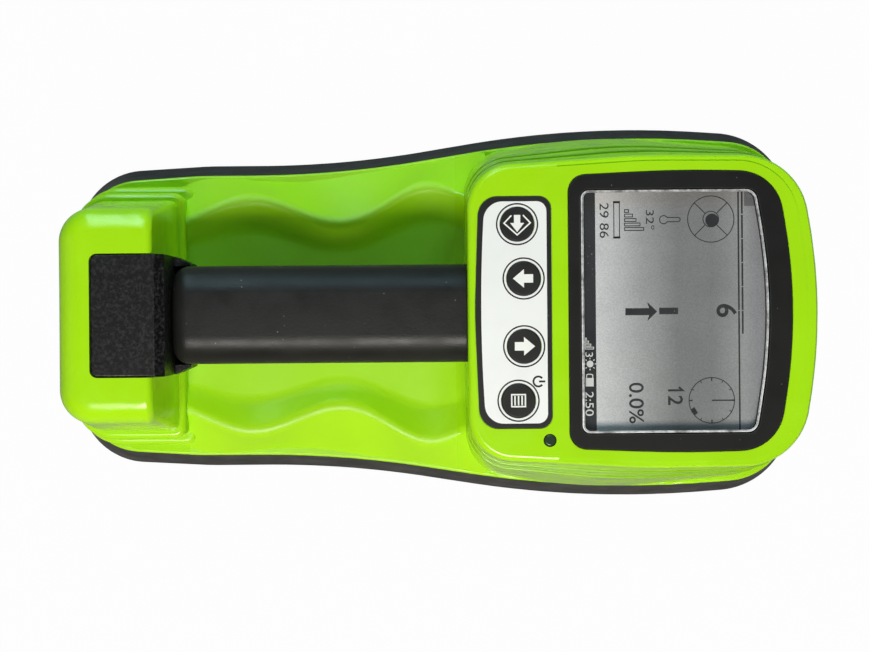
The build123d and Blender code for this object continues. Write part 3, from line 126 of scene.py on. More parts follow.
def moulded(name, colour, roughness, grain, depth, mottle=0.08, rough_spread=0.08, rub=0.25, dust=0.0,
            constants=None):
    """Moulded or painted finish. Colour: the base, lighter and darker in slow clouds, rubbed lighter along
    edges, with sparse dust. Roughness: the base with its own clouds. Bump: pebbles of the grain's size and
    depth in metres."""
    finish, make, shade = new_finish(name, constants or {})
    place = make("TexCoord").outputs["Object"]
    cloud = make("TexNoise", {"Vector": place, "Scale": 38.0, "Detail": 4.0}).outputs["Fac"]
    tone = spread(make, cloud, 0.3, 0.7, 1 - mottle, 1 + mottle)
    body = make("HueSaturation", {"Color": (*colour, 1.0), "Value": tone}).outputs["Color"]
    soft = make("Bevel", {"Radius": 0.0009}, samples=4).outputs["Normal"]
    true = make("NewGeometry").outputs["Normal"]
    turn = make("VectorMath", {0: soft, 1: true}, operation="DOT_PRODUCT").outputs["Value"]
    scuff = make("TexNoise", {"Vector": place, "Scale": 420.0, "Detail": 3.0}).outputs["Fac"]
    edge = spread(make, turn, 0.99, 0.86, 0.0, rub)
    worn = make("Math", {0: edge, 1: scuff}, operation="MULTIPLY").outputs["Value"]
    pale = tuple(0.5 * part + 0.22 for part in colour)
    body = make("Mix", {"Factor": worn, "A": body, "B": (*pale, 1.0)}, data_type="RGBA").outputs[2]
    if dust:
        cells = make("TexVoronoi", {"Vector": place, "Scale": 260.0}).outputs["Distance"]
        fleck = spread(make, cells, 0.05, 0.09, dust, 0.0)
        drift = make("TexNoise", {"Vector": place, "Scale": 90.0, "Detail": 2.0}).outputs["Fac"]
        patch = spread(make, drift, 0.52, 0.66, 0.0, 1.0)
        speck = make("Math", {0: fleck, 1: patch}, operation="MULTIPLY").outputs["Value"]
        body = make("Mix", {"Factor": speck, "A": body, "B": DUST}, data_type="RGBA").outputs[2]
    patches = make("TexNoise", {"Vector": place, "Scale": 75.0, "Detail": 3.0}).outputs["Fac"]
    gloss = spread(make, patches, 0.3, 0.7, roughness - rough_spread, roughness + rough_spread)
    pebbles = {"Vector": place, "Scale": 1.0 / grain, "Detail": 2.0, "Roughness": 0.6}
    pebble = make("TexNoise", pebbles).outputs["Fac"]
    skin = make("Bump", {"Height": pebble, "Distance": depth, "Strength": 1.0}).outputs["Normal"]
    shade({"Base Color": body, "Roughness": gloss, "Normal": skin})
    return finish


DULL = {"Specular IOR Level": 0.22}
black_plastic = moulded("black_moulded_plastic", (0.010, 0.010, 0.011), 0.42, 0.0007, 0.00003, dust=0.25)
welded("lower_housing", "chassis", "black_plastic", black_plastic)

# Rubber feet: four pads pressed into round seats under the tray, soft black rubber with a worn sole.
foot_rubber = moulded("foot_rubber", (0.018, 0.018, 0.018), 0.78, 0.0005, 0.00004, dust=0.4)
welded("rubber_feet", "chassis", "foot_rubber", foot_rubber)


# Aerial cradle: one black moulding on the tray's floor that holds three ferrite rods at right angles.
# Each rod is a ground grey sinter with a copper coil wound round its middle.
def carried_over(node, finish):
    """Gives a CAD piece that stays as it is a finish in place of its plain one."""
    nodes[node].data.materials.clear()
    nodes[node].data.materials.append(finish)


def rings_mesh(rings, loop):
    """Corners and faces of a skin through rings of points: neighbours along a ring and along the path make a
    quad. The path closes on itself when it is a loop, or else each end gets a flat cap."""
    rows, columns = rings.shape[:2]
    index = np.arange(rows * columns).reshape(rows, columns)
    here = index if loop else index[:-1]
    ahead = np.roll(index, -1, axis=0) if loop else index[1:]
    quads = np.stack((here, np.roll(here, -1, axis=1), np.roll(ahead, -1, axis=1), ahead), axis=-1)
    faces = quads.reshape(-1, 4).tolist()
    if not loop:
        faces += [index[0][::-1].tolist(), index[-1].tolist()]
    return rings.reshape(-1, 3), faces


def joined_piece(name, skins, smooth_degrees=None):
    """One object from several skins, each a pair of corners and faces, smooth below the angle if one is
    given."""
    starts = np.cumsum([0] + [len(corners) for corners, faces in skins])
    corners = np.vstack([corners for corners, faces in skins])
    faces = []
    for start, (points, group) in zip(starts, skins):
        faces += [[start + spot for spot in face] for face in group]
    mesh = bpy.data.meshes.new(name)
    mesh.from_pydata(corners.tolist(), [], faces)
    if smooth_degrees is not None:
        mesh.shade_smooth()
        mesh.set_sharp_from_angle(angle=math.radians(smooth_degrees))
    piece = bpy.data.objects.new(name, mesh)
    scene.collection.objects.link(piece)
    return piece


WIRE_TURNS = 44
WIRE_RIPPLE = 0.00025
COIL_SIDES = 56
COIL_ROWS = 12


def wound_coil(node, axis):
    """Winding on a rod: a sleeve whose radius swells and dips once for each turn of wire along its length,
    closed through its bore. Angle runs round the rod, and the path goes out along the wire and back inside
    the bore."""
    low, high = (np.array(corner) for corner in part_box(node))
    middle = (low + high) / 2
    half = (high - low)[axis] / 2
    outer = (high - low)[(axis + 1) % 3] / 2
    inner = outer - 0.0037
    along = np.linspace(-half, half, WIRE_TURNS * COIL_ROWS + 1)
    ripple = np.abs(np.sin(np.pi * WIRE_TURNS * (along / (2 * half) + 0.5)))
    radius = np.concatenate((outer - WIRE_RIPPLE * (1 - ripple), [inner, inner]))
    along = np.concatenate((along, [half, -half]))
    angle = np.linspace(0, 2 * np.pi, COIL_SIDES, endpoint=False)
    rings = np.empty((len(along), COIL_SIDES, 3))
    rings[:, :, axis] = along[:, None]
    rings[:, :, (axis + 1) % 3] = radius[:, None] * np.cos(angle)
    rings[:, :, (axis + 2) % 3] = radius[:, None] * np.sin(angle)
    piece = joined_piece(node + "_winding", [rings_mesh(rings + middle, True)], 40.0)
    return dressed(piece, "chassis", "winding_copper", winding_copper, node)


ferrite = moulded("ground_ferrite", (0.055, 0.055, 0.06), 0.55, 0.0004, 0.00002)
winding_copper = moulded("enamelled_copper", (0.45, 0.16, 0.045), 0.3, 0.0003, 0.00001,
                         constants={"Metallic": 0.85})
BARE_METAL = {"Metallic": 1.0}
screw_steel = moulded("zinc_plated_steel", (0.52, 0.52, 0.5), 0.32, 0.0004, 0.00001, constants=BARE_METAL)
carried_over("aerial_cradle", black_plastic)
carried_over("cradle_screws", screw_steel)
for rod_name, rod_axis in (("long", 0), ("cross", 1), ("upright", 2)):
    carried_over(rod_name + "_ferrite", ferrite)
    wound_coil(rod_name + "_coil", rod_axis)

# Battery bay: a black sleeve behind the door frame, with three sprung brass terminals on its end wall.
contact_brass = moulded("bright_brass", (0.62, 0.43, 0.13), 0.25, 0.0004, 0.00001, constants=BARE_METAL)
carried_over("battery_bay", black_plastic)
carried_over("bay_terminals", contact_brass)

# Housing gasket: a flat strip of soft black rubber squeezed between the two halves.
seal_rubber = moulded("seal_rubber", (0.014, 0.014, 0.015), 0.6, 0.0004, 0.00002)
welded("housing_gasket", "chassis", "seal_rubber", seal_rubber)


# Upper housing: lime moulding with the rear block, the hand pocket and the display pod in one piece.
# The plastic is coloured right through, with a fine satin grain; painted shade darkens thin lines along the
# pod's two ledges, and hands have rubbed the waist duller.
LIME = (0.37, 0.73, 0.006)
LEDGE_LEVELS = (0.105, 0.128)
LEDGE_REACH = 0.0006
POD_START = 0.01
WAIST_START = -0.117
HAND_WEAR = 0.24


def lime_moulding():
    """Moulded finish as elsewhere, with painted shade as darker lime along the pod where the height is that
    of one of its ledges, and with rougher lime along the waist."""
    finish = moulded("lime_moulded_plastic", LIME, 0.2, 0.0009, 0.000012, mottle=0.03, rough_spread=0.05,
                     rub=0.05, constants={"Specular IOR Level": 0.4})
    tree = finish.node_tree
    shader = tree.nodes["Principled BSDF"]
    unshaded = shader.inputs["Base Color"].links[0].from_socket
    spot = tree.nodes.new("ShaderNodeSeparateXYZ")
    tree.links.new(tree.nodes["Texture Coordinate"].outputs["Object"], spot.inputs[0])

    def sum_of(kind, first, second, third=None):
        node = tree.nodes.new("ShaderNodeMath")
        node.operation = kind
        for socket, value in zip(node.inputs, (first, second, third)):
            if isinstance(value, bpy.types.NodeSocket):
                tree.links.new(value, socket)
            elif value is not None:
                socket.default_value = value
        return node.outputs[0]

    # Painted shade: darker lime in thin bands at the two ledge heights on the pod, where each ledge lies in
    # the shade of the tier above.
    low, high = (sum_of("COMPARE", spot.outputs["Z"], level, LEDGE_REACH) for level in LEDGE_LEVELS)
    on_pod = sum_of("GREATER_THAN", spot.outputs["X"], POD_START)
    ledge_shade = sum_of("MULTIPLY", sum_of("MAXIMUM", low, high), on_pod)
    mix = tree.nodes.new("ShaderNodeMix")
    mix.data_type = "RGBA"
    tree.links.new(sum_of("MULTIPLY", ledge_shade, 0.45), mix.inputs["Factor"])
    tree.links.new(unshaded, mix.inputs[6])
    mix.inputs[7].default_value = (0.06, 0.17, 0.01, 1.0)
    tree.links.new(mix.outputs[2], shader.inputs["Base Color"])
    ahead = sum_of("GREATER_THAN", spot.outputs["X"], WAIST_START)
    rubbed = sum_of("SUBTRACT", ahead, on_pod)
    gloss = shader.inputs["Roughness"].links[0].from_socket
    tree.links.new(sum_of("MULTIPLY_ADD", rubbed, HAND_WEAR, gloss), shader.inputs["Roughness"])
    return finish


lime_plastic = lime_moulding()
welded("upper_housing", "chassis", "lime_plastic", lime_plastic)
carried_over("housing_screws", screw_steel)

# Handle: a steel rod with nuts and washers clamps the grip sleeve between the pod wall and the end block.
# The sleeve is moulded rubber, a rounded rectangle in section, with a fine speckled grain.
GRIP_SECTION = (0.0428, 0.0340, 0.0125)
GRIP_REAR_ROUND = 0.007
GRIP_FRONT_ROUND = 0.0006
GRIP_CORNER_POINTS = 16
GRIP_ROWS = 60


def rounded_rectangle(width, height, radius, corner_points):
    """Closed outline: four quarter circles, one round each corner's centre, joined by straight sides."""
    quarter = np.linspace(0, np.pi / 2, corner_points)
    angle = np.concatenate([quarter + turn * np.pi / 2 for turn in range(4)])
    right = np.repeat((1, -1, -1, 1), corner_points)
    up = np.repeat((1, 1, -1, -1), corner_points)
    across = right * (width / 2 - radius) + radius * np.cos(angle)
    upward = up * (height / 2 - radius) + radius * np.sin(angle)
    return np.column_stack((across, upward))


def grip_sleeve():
    """Grip: the rounded rectangle carried along the rod, drawn in by a quarter circle at each end, a wide one
    at the rear and a narrow one at the pod, then back through the bore, whose section is a circle."""
    low, high = (np.array(corner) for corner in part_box("handle_grip"))
    middle = (low + high) / 2
    ease = np.linspace(0, np.pi / 2, 8)
    inward = 1 - np.sin(ease)
    forward = 1 - np.cos(ease)
    straight = np.linspace(low[0] + GRIP_REAR_ROUND, high[0] - GRIP_FRONT_ROUND, GRIP_ROWS)[1:-1]
    rear_end = low[0] + GRIP_REAR_ROUND * forward
    front_end = high[0] - GRIP_FRONT_ROUND * forward[::-1]
    along = np.concatenate((rear_end, straight, front_end))
    no_shrink = np.zeros(len(straight))
    shrink = np.concatenate((GRIP_REAR_ROUND * inward, no_shrink, GRIP_FRONT_ROUND * inward[::-1]))
    width, height, radius = GRIP_SECTION
    sections = np.stack([
        rounded_rectangle(width - 2 * step, height - 2 * step, radius - step, GRIP_CORNER_POINTS)
        for step in shrink
    ])
    bore_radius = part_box("handle_core")[1].y + 0.0003
    angle = np.arctan2(sections[0][:, 1], sections[0][:, 0])
    bore = bore_radius * np.column_stack((np.cos(angle), np.sin(angle)))
    sections = np.concatenate((sections, bore[None], bore[None]))
    along = np.concatenate((along, high[:1], low[:1]))
    rings = np.empty((*sections.shape[:2], 3))
    rings[:, :, 0] = along[:, None]
    rings[:, :, 1] = middle[1] + sections[:, :, 0]
    rings[:, :, 2] = middle[2] + sections[:, :, 1]
    return joined_piece("grip_sleeve", [rings_mesh(rings, True)], 35.0)


def sparkle_moulding():
    """Coarse black moulding: each grain, a noise blob about a millimetre wide, is lighter or darker on its
    own, is rougher or smoother, and stands up by its share of the bump's depth."""
    finish, make, shade = new_finish("sparkle_plastic", DULL)
    place = make("TexCoord").outputs["Object"]
    blobs = {"Vector": place, "Scale": 750.0, "Detail": 3.0, "Roughness": 0.7}
    grain = make("TexNoise", blobs).outputs["Fac"]
    light = spread(make, grain, 0.46, 0.66, 0.001, 0.03)
    greys = dict.fromkeys(("Red", "Green", "Blue"), light)
    body = make("CombineColor", greys).outputs["Color"]
    gloss = spread(make, grain, 0.35, 0.65, 0.5, 0.3)
    skin = make("Bump", {"Height": grain, "Distance": 0.00012, "Strength": 1.0}).outputs["Normal"]
    shade({"Base Color": body, "Roughness": gloss, "Normal": skin})
    return finish


grip_rubber = moulded("grip_rubber", (0.013, 0.013, 0.012), 0.42, 0.0009, 0.00007, mottle=0.12, dust=0.25,
                      constants=DULL)
block_plastic = sparkle_moulding()
board_laminate = moulded("green_laminate", (0.02, 0.13, 0.045), 0.35, 0.0008, 0.00001)
dressed(grip_sleeve(), "chassis", "grip_rubber", grip_rubber, "handle_grip")
for fitting in ("handle_core", "handle_washers", "handle_nuts", "end_block_screws"):
    carried_over(fitting, screw_steel)
welded("end_block", "chassis", "block_plastic", block_plastic)
carried_over("telemetry_aerial", board_laminate)

# Display bezel: satin black frame let into the pod's top, with a collar that presses the window's gasket.
bezel_plastic = moulded("satin_bezel_plastic", (0.010, 0.010, 0.009), 0.5, 0.0006, 0.000012, dust=0.2,
                        constants={"Specular IOR Level": 0.14})
welded("display_bezel", "chassis", "bezel_plastic", bezel_plastic)
carried_over("window_gasket", seal_rubber)

# Main board and its frame: an aluminium plate screwed under the pod's top carries the LCD and, on brass
# spacers, the green main board with its chips and beeper.
frame_metal = moulded("bare_aluminium", (0.6, 0.6, 0.6), 0.38, 0.0006, 0.00001, constants=BARE_METAL)
chip_plastic = moulded("chip_plastic", (0.02, 0.02, 0.02), 0.5, 0.0003, 0.00001)
backlight_plastic = moulded("light_guide_plastic", (0.75, 0.75, 0.72), 0.4, 0.0008, 0.00001)
carried_over("lcd_backlight", backlight_plastic)
carried_over("display_frame", frame_metal)
carried_over("display_screws", screw_steel)
carried_over("board_spacers", contact_brass)
carried_over("main_board", board_laminate)
carried_over("board_screws", screw_steel)
carried_over("beeper", chip_plastic)
carried_over("board_chips", chip_plastic)

# LCD: a grey reflective panel, brighter towards the keypad as a painted reflection. Its dark segments are
# thin
# raised shapes: a target, signal bars, a thermometer, an arrow, a dial and plain numbers that read across
# the handle.
lcd_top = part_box("lcd_panel")[1].z
LCD_START = 0.070
LCD_END = 0.138
SEGMENT_DEPTH = 0.00005
MM = 0.001


def lcd_painted_reflection():
    """Grey panel with a painted reflection: brightness along X falls from the keypad side to a dark middle
    and rises a little beyond it, with faint clouds and a fine speckle in colour and bump."""
    finish, make, shade = new_finish("lcd_reflector", {"Roughness": 0.5, "Specular IOR Level": 0.1})
    place = make("TexCoord").outputs["Object"]
    along = make("SeparateXYZ", {0: place}).outputs["X"]
    # Painted reflection: the grey ramps along X from bright at the keypad side to dark in the middle.
    share = spread(make, along, LCD_START, LCD_END, 0.0, 1.0)
    ramp = make("ValToRGB", {"Fac": share})
    stops = ramp.color_ramp.elements
    stops.remove(stops[0])
    for spot, grey in ((0.0, 0.54), (0.27, 0.31), (0.5, 0.175), (0.72, 0.18), (0.92, 0.27)):
        stops.new(spot).color = (grey, grey, grey, 1.0)
    stops[-1].color = (0.22, 0.22, 0.23, 1.0)
    cloud = make("TexNoise", {"Vector": place, "Scale": 60.0, "Detail": 3.0}).outputs["Fac"]
    tone = spread(make, cloud, 0.3, 0.7, 0.95, 1.05)
    speckle = make("TexNoise", {"Vector": place, "Scale": 1500.0, "Detail": 1.0}).outputs["Fac"]
    fine = spread(make, speckle, 0.3, 0.7, 0.9, 1.1)
    tone = make("Math", {0: tone, 1: fine}, operation="MULTIPLY").outputs["Value"]
    grey = make("HueSaturation", {"Color": ramp.outputs["Color"], "Value": tone}).outputs["Color"]
    skin = make("Bump", {"Height": speckle, "Distance": 0.00001, "Strength": 1.0}).outputs["Normal"]
    shade({"Base Color": grey, "Normal": skin})
    return finish


def stroke(path, width, closed=False):
    """Line of even width on the LCD, in millimetres: every point of the path is pushed half the width to each
    side along the mitre of its two runs, and a thin rectangle is carried along the path."""
    path = np.asarray(path, dtype=float)
    runs = np.diff(np.vstack((path, path[:1])) if closed else path, axis=0)
    across = np.column_stack((-runs[:, 1], runs[:, 0])) / np.linalg.norm(runs, axis=1)[:, None]
    before = np.roll(across, 1, axis=0) if closed else np.vstack((across[:1], across))
    after = across if closed else np.vstack((across, across[-1:]))
    mitre = (before + after) / (1 + np.sum(before * after, axis=1))[:, None] * width / 2
    rings = np.zeros((len(path), 4, 3))
    rings[:, :, :2] = np.stack((path - mitre, path + mitre, path + mitre, path - mitre), axis=1) * MM
    rings[:, 2:, 2] = SEGMENT_DEPTH
    return rings_mesh(rings, closed)


def plate(outline):
    """Flat shape on the LCD, in millimetres: its outline, taken anticlockwise, carried up by the segment's
    depth."""
    outline = np.asarray(outline, dtype=float)
    nexts = np.roll(outline, -1, axis=0)
    turning = np.sum(outline[:, 0] * nexts[:, 1] - outline[:, 1] * nexts[:, 0])
    flat = (outline if turning > 0 else outline[::-1]) * MM
    rings = np.zeros((2, len(flat), 3))
    rings[:, :, :2] = flat
    rings[1, :, 2] = SEGMENT_DEPTH
    return rings_mesh(rings, False)


def arc(centre, radius, start=0.0, end=360.0, points=49):
    """Points on a circle round a centre, from one angle to another in degrees."""
    angle = np.radians(np.linspace(start, end, points))
    return np.column_stack((centre[0] + radius * np.cos(angle), centre[1] + radius * np.sin(angle)))


def circle(centre, radius, points=48):
    """Points round a whole circle, without the first one repeated."""
    return arc(centre, radius, points=points + 1)[:-1]


def rectangle(low, high):
    """Corners of an upright rectangle, anticlockwise."""
    return [low, (high[0], low[1]), high, (low[0], high[1])]


def lettering(words, start, end, weight=0.0):
    """Plain characters on the LCD that read towards -Y with their tops to +X: the text is made a mesh, then
    stretched so that it just fills the rectangle from its start corner to its end corner, in millimetres."""
    text = bpy.data.curves.new("words", "FONT")
    text.body = words
    text.extrude = 0.05
    text.offset = weight
    holder = bpy.data.objects.new("words", text)
    scene.collection.objects.link(holder)
    bpy.context.view_layer.update()
    mesh = bpy.data.meshes.new_from_object(holder.evaluated_get(bpy.context.evaluated_depsgraph_get()))
    corners = np.empty(3 * len(mesh.vertices))
    mesh.vertices.foreach_get("co", corners)
    faces = [list(face.vertices) for face in mesh.polygons]
    bpy.data.objects.remove(holder)
    bpy.data.curves.remove(text)
    bpy.data.meshes.remove(mesh)
    corners = corners.reshape(-1, 3)
    share = (corners - corners.min(axis=0)) / np.ptp(corners, axis=0)
    placed = np.column_stack((start[0] + share[:, 1] * (end[0] - start[0]),
                              start[1] + share[:, 0] * (end[1] - start[1]),
                              share[:, 2] * SEGMENT_DEPTH / MM))
    return placed * MM, faces


def raised(skins, height):
    """The same skins lifted to a height."""
    return [(corners + np.array((0.0, 0.0, height)), faces) for corners, faces in skins]


LINE = 0.38
target_centre = np.array((118.6, 39.3))
target_ring = 9.9
dial_centre = np.array((118.4, -38.3))
dial_ring = 9.75
bulb = arc((98.4, 39.2), 1.75, 31.0, 329.0)
bulb_tip = arc((104.6, 39.2), 0.9, -90.0, 90.0, 9)
segments = [
    plate(rectangle((63.2, -51.2), (69.1, 51.2))),
    lettering("29 86", (71.0, 46.5), (74.9, 31.6)),
    stroke(rectangle((77.1, 31.7), (79.5, 46.9)), LINE, True),
    plate(rectangle((76.8, 46.4), (79.8, 47.3))),
    plate(rectangle((76.8, 31.3), (79.8, 32.2))),
    lettering("32°", (90.8, 43.4), (94.4, 35.0)),
    stroke(np.vstack((bulb, bulb_tip)), LINE, True),
    plate([(81.7, -1.6), (91.9, -1.6), (91.1, -4.1), (95.3, -0.1), (91.1, 4.0), (91.9, 1.4), (81.7, 1.4)]),
    plate(rectangle((96.2, -1.3), (104.3, 1.5))),
    stroke(circle(target_centre, target_ring), LINE, True),
    stroke(circle(target_centre, 3.35), LINE, True),
    plate(circle(target_centre + (0.5, -0.5), 2.85, 32)),
    plate(rectangle((130.0, -51.2), (130.7, -0.1))),
    plate(rectangle((130.0, 0.3), (130.7, 51.2))),
    lettering("6", (120.7, 2.9), (129.4, -2.7), 0.015),
    lettering("0.0%", (83.0, -30.5), (89.3, -47.9), 0.008),
    stroke([(99.7, -33.9), (105.9, -33.9), (104.3, -32.5)], 0.85),
    lettering("2", (99.7, -36.2), (106.0, -40.2), 0.012),
    stroke(circle(dial_centre, dial_ring), LINE, True),
    stroke([dial_centre, dial_centre + (dial_ring, 0.0)], 0.55),
]
for bar, length in enumerate((1.75, 3.4, 4.9, 6.6, 8.2)):
    bar_y = 43.0 - 1.92 * bar
    segments.append(stroke(rectangle((81.7, bar_y - 0.6), (81.7 + length, bar_y + 0.6)), LINE, True))
for spoke in np.radians((45.0, 135.0, 225.0, 315.0)):
    ray = np.array((math.cos(spoke), math.sin(spoke)))
    segments.append(stroke([target_centre + 3.4 * ray, target_centre + target_ring * ray], LINE))
for hour in range(12):
    ray = np.array((math.cos(math.radians(30.0 * hour)), math.sin(math.radians(30.0 * hour))))
    reach, width = (1.5, 0.55) if hour % 3 == 0 else (1.1, 0.34)
    segments.append(stroke([dial_centre + (dial_ring - reach) * ray, dial_centre + dial_ring * ray], width))
mark_ray = np.array((math.cos(math.radians(211.5)), math.sin(math.radians(211.5))))
mark_side = np.array((-mark_ray[1], mark_ray[0]))
mark_middle = dial_centre + 8.7 * mark_ray
segments.append(stroke([mark_middle - 1.5 * mark_side, mark_middle + 1.5 * mark_side], 1.6))
for top, bottom in ((51.2, 41.5), (41.0, 31.1), (30.6, 20.8), (20.4, 10.5), (10.1, 0.3), (-0.1, -9.9)):
    segments.append(plate(rectangle((131.55, bottom), (132.3, top))))

reversed_signs = [
    lettering("3", (64.4, -17.3), (67.7, -19.3)),
    plate(circle((66.4, -22.3), 1.45, 24)),
    plate(rectangle((64.5, -31.9), (67.9, -28.3))),
    stroke([(64.9, -28.3), (64.9, -27.0), (65.5, -26.7), (66.9, -26.7), (67.5, -27.0), (67.5, -28.3)], 0.4),
    lettering("2:50", (64.3, -34.2), (67.8, -44.5)),
]
for ray_angle in range(0, 360, 45):
    ray = np.array((math.cos(math.radians(ray_angle)), math.sin(math.radians(ray_angle))))
    reversed_signs.append(stroke([(66.4, -22.3) + 2.0 * ray, (66.4, -22.3) + 2.7 * ray], 0.4))
for step, reach in enumerate((0.5, 1.4, 2.4, 3.6)):
    step_y = -11.6 - 1.3 * step
    reversed_signs.append(stroke(rectangle((64.4, step_y - 0.4), (64.4 + reach, step_y + 0.4)), 0.3, True))

FLAT_INK = {"Specular IOR Level": 0.1}
lcd_ink = moulded("lcd_dark_segments", (0.02, 0.02, 0.022), 0.5, 0.0008, 0.000002, mottle=0.15,
                  constants=FLAT_INK)
lcd_corner_shade = moulded("lcd_corner_painted_shade", (0.11, 0.11, 0.12), 0.35, 0.0008, 0.000002, mottle=0.15)
lcd_clear = moulded("lcd_clear_segments", (0.6, 0.6, 0.58), 0.35, 0.0008, 0.000002)
carried_over("lcd_panel", lcd_painted_reflection())
dressed(joined_piece("lcd_segments", raised(segments, lcd_top)), "chassis", "lcd_face", lcd_ink)
# Painted shade: a mid-grey patch in the LCD's front corner at +Y.
grey_corner = raised([plate(rectangle((132.9, 44.8), (137.2, 51.2)))], lcd_top)
dressed(joined_piece("lcd_grey_corner", grey_corner), "chassis", "lcd_face", lcd_corner_shade)
clear_signs = raised(reversed_signs, lcd_top + 2 * SEGMENT_DEPTH)
dressed(joined_piece("lcd_reversed_segments", clear_signs), "chassis", "lcd_face", lcd_clear)


# Display window: a clear hard-coated pane let into the bezel, with a bowed front edge. Its ground edge all
# round, and a thin strip on its top just inside that edge, carry a painted highlight: a thin uneven silver
# line.
PANE_REAR_ROUND = 0.0035
PANE_FRONT_ROUND = 0.005
PANE_BOW_ROUND = 0.23
PANE_BOW_SLOPE = math.tan(math.radians(9.5))
PANE_CHAMFER = 0.0002
EDGE_OUTER = 0.00015
EDGE_INNER = 0.0007
BEVEL_GLINT_OUTER = 0.0009
BEVEL_GLINT_INNER = 0.0011
BEVEL_GLINT_RISE = 0.00005


def rounded_outline(corners, steps=13):
    """Closed outline, anticlockwise: each corner (x, y, radius) becomes an arc that touches both of its runs,
    taken on a grid of corner by share of the arc. Gives the points and the outward normals there."""
    corners = np.asarray(corners)
    spots, radius = corners[:, :2], corners[:, 2:]
    before = spots - np.roll(spots, 1, axis=0)
    before /= np.linalg.norm(before, axis=1)[:, None]
    after = np.roll(before, -1, axis=0)
    turn = np.arctan2(before[:, 0] * after[:, 1] - before[:, 1] * after[:, 0], np.sum(before * after, axis=1))
    outward = np.column_stack((before[:, 1], -before[:, 0]))
    centre = spots - before * radius * np.tan(turn / 2)[:, None] - outward * radius
    start = np.arctan2(outward[:, 1], outward[:, 0])
    angle = start[:, None] + turn[:, None] * np.linspace(0, 1, steps)
    normals = np.stack((np.cos(angle), np.sin(angle)), axis=-1)
    points = centre[:, None] + radius[:, None] * normals
    return points.reshape(-1, 2), normals.reshape(-1, 2)


def pane_rings(levels):
    """Rings round the pane: its outline brought in by each inset, at each height."""
    low, high = (np.array(corner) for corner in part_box("display_window"))
    half = (high - low)[1] / 2
    tip = high[0] + PANE_BOW_ROUND * (math.hypot(1.0, PANE_BOW_SLOPE) - 1)
    front = tip - half * PANE_BOW_SLOPE
    points, normals = rounded_outline([
        (low[0], -half, PANE_REAR_ROUND),
        (front, -half, PANE_FRONT_ROUND),
        (tip, 0.0, PANE_BOW_ROUND),
        (front, half, PANE_FRONT_ROUND),
        (low[0], half, PANE_REAR_ROUND),
    ])
    rings = np.empty((len(levels), len(points), 3))
    for ring, (inset, height) in zip(rings, levels):
        ring[:, :2] = points - normals * inset
        ring[:, 2] = height
    return rings


def window_pane_finish():
    """Clear pane: nearly see-through, with sparse dust and fine rubs that catch the light."""
    finish, make, shade = new_finish("hard_coated_window", {"Base Color": (0.9, 0.93, 0.95, 1.0)})
    place = make("TexCoord").outputs["Object"]
    cells = make("TexVoronoi", {"Vector": place, "Scale": 330.0}).outputs["Distance"]
    fleck = spread(make, cells, 0.04, 0.08, 0.3, 0.0)
    drift = make("TexNoise", {"Vector": place, "Scale": 70.0, "Detail": 2.0}).outputs["Fac"]
    patch = spread(make, drift, 0.5, 0.62, 0.0, 1.0)
    speck = make("Math", {0: fleck, 1: patch}, operation="MULTIPLY").outputs["Value"]
    haze = spread(make, drift, 0.3, 0.7, 0.003, 0.011)
    cover = make("Math", {0: speck, 1: haze}, operation="ADD").outputs["Value"]
    gloss = spread(make, drift, 0.3, 0.7, 0.05, 0.16)
    shade({"Alpha": cover, "Roughness": gloss})
    return finish


def ground_edge_glint_finish():
    """Ground glass edge: silver as a painted highlight, from dull to bright in short runs along the edge,
    with a fine bump.
    """
    finish, make, shade = new_finish("ground_window_edge_painted_glint", {"Metallic": 0.4})
    place = make("TexCoord").outputs["Object"]
    runs = make("TexNoise", {"Vector": place, "Scale": 190.0, "Detail": 4.0, "Roughness": 0.7}).outputs["Fac"]
    # Painted highlight: the silver's brightness runs from dull to bright along the edge.
    light = spread(make, runs, 0.36, 0.6, 0.22, 0.9)
    greys = dict.fromkeys(("Red", "Green", "Blue"), light)
    silver = make("CombineColor", greys).outputs["Color"]
    gloss = spread(make, runs, 0.3, 0.7, 0.55, 0.3)
    grind = make("TexNoise", {"Vector": place, "Scale": 2400.0}).outputs["Fac"]
    skin = make("Bump", {"Height": grind, "Distance": 0.00002, "Strength": 1.0}).outputs["Normal"]
    shade({"Base Color": silver, "Roughness": gloss, "Normal": skin})
    return finish


pane_low, pane_top = (corner.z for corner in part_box("display_window"))
pane_levels = [
    (EDGE_INNER, pane_low),
    (EDGE_INNER, pane_top - PANE_CHAMFER),
    (EDGE_INNER + PANE_CHAMFER, pane_top),
]
pane = joined_piece("window_pane", [rings_mesh(pane_rings(pane_levels), False)])
dressed(pane, "chassis", "window_glass", window_pane_finish(), "display_window")
edge_levels = [(EDGE_OUTER, pane_low), (EDGE_INNER, pane_low), (EDGE_INNER, pane_top), (EDGE_OUTER, pane_top)]
# A thin flat strip on the pane's top just inside its edge, in the same silver: a painted highlight along the
# pane's bevel.
bevel_glint_top = pane_top + BEVEL_GLINT_RISE
bevel_glint_levels = [
    (BEVEL_GLINT_OUTER, pane_top),
    (BEVEL_GLINT_INNER, pane_top),
    (BEVEL_GLINT_INNER, bevel_glint_top),
    (BEVEL_GLINT_OUTER, bevel_glint_top),
]
edge_skins = []
for levels in (edge_levels, bevel_glint_levels):
    edge_skins.append(rings_mesh(pane_rings(levels).transpose(1, 0, 2), True))
dressed(joined_piece("window_edge_and_glint_strip", edge_skins), "chassis", "window_glass", ground_edge_glint_finish())

# Keypad overlay: a dark printed film stuck in a shallow seat of the pod's top, with a white field
# inside a dark border, a white ring round each key and a small power sign.
OVERLAY_DARK = (0.013, 0.013, 0.012)
PRINT_DEPTH = 0.00004
overlay_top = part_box("keypad_overlay")[1].z
KEYS = ("target_key", "back_key", "forward_key", "menu_key")
key_centres = {}
for key in KEYS:
    key_low, key_high = (np.array(corner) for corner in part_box(key))
    key_centres[key] = (key_low + key_high)[:2] / 2 / MM


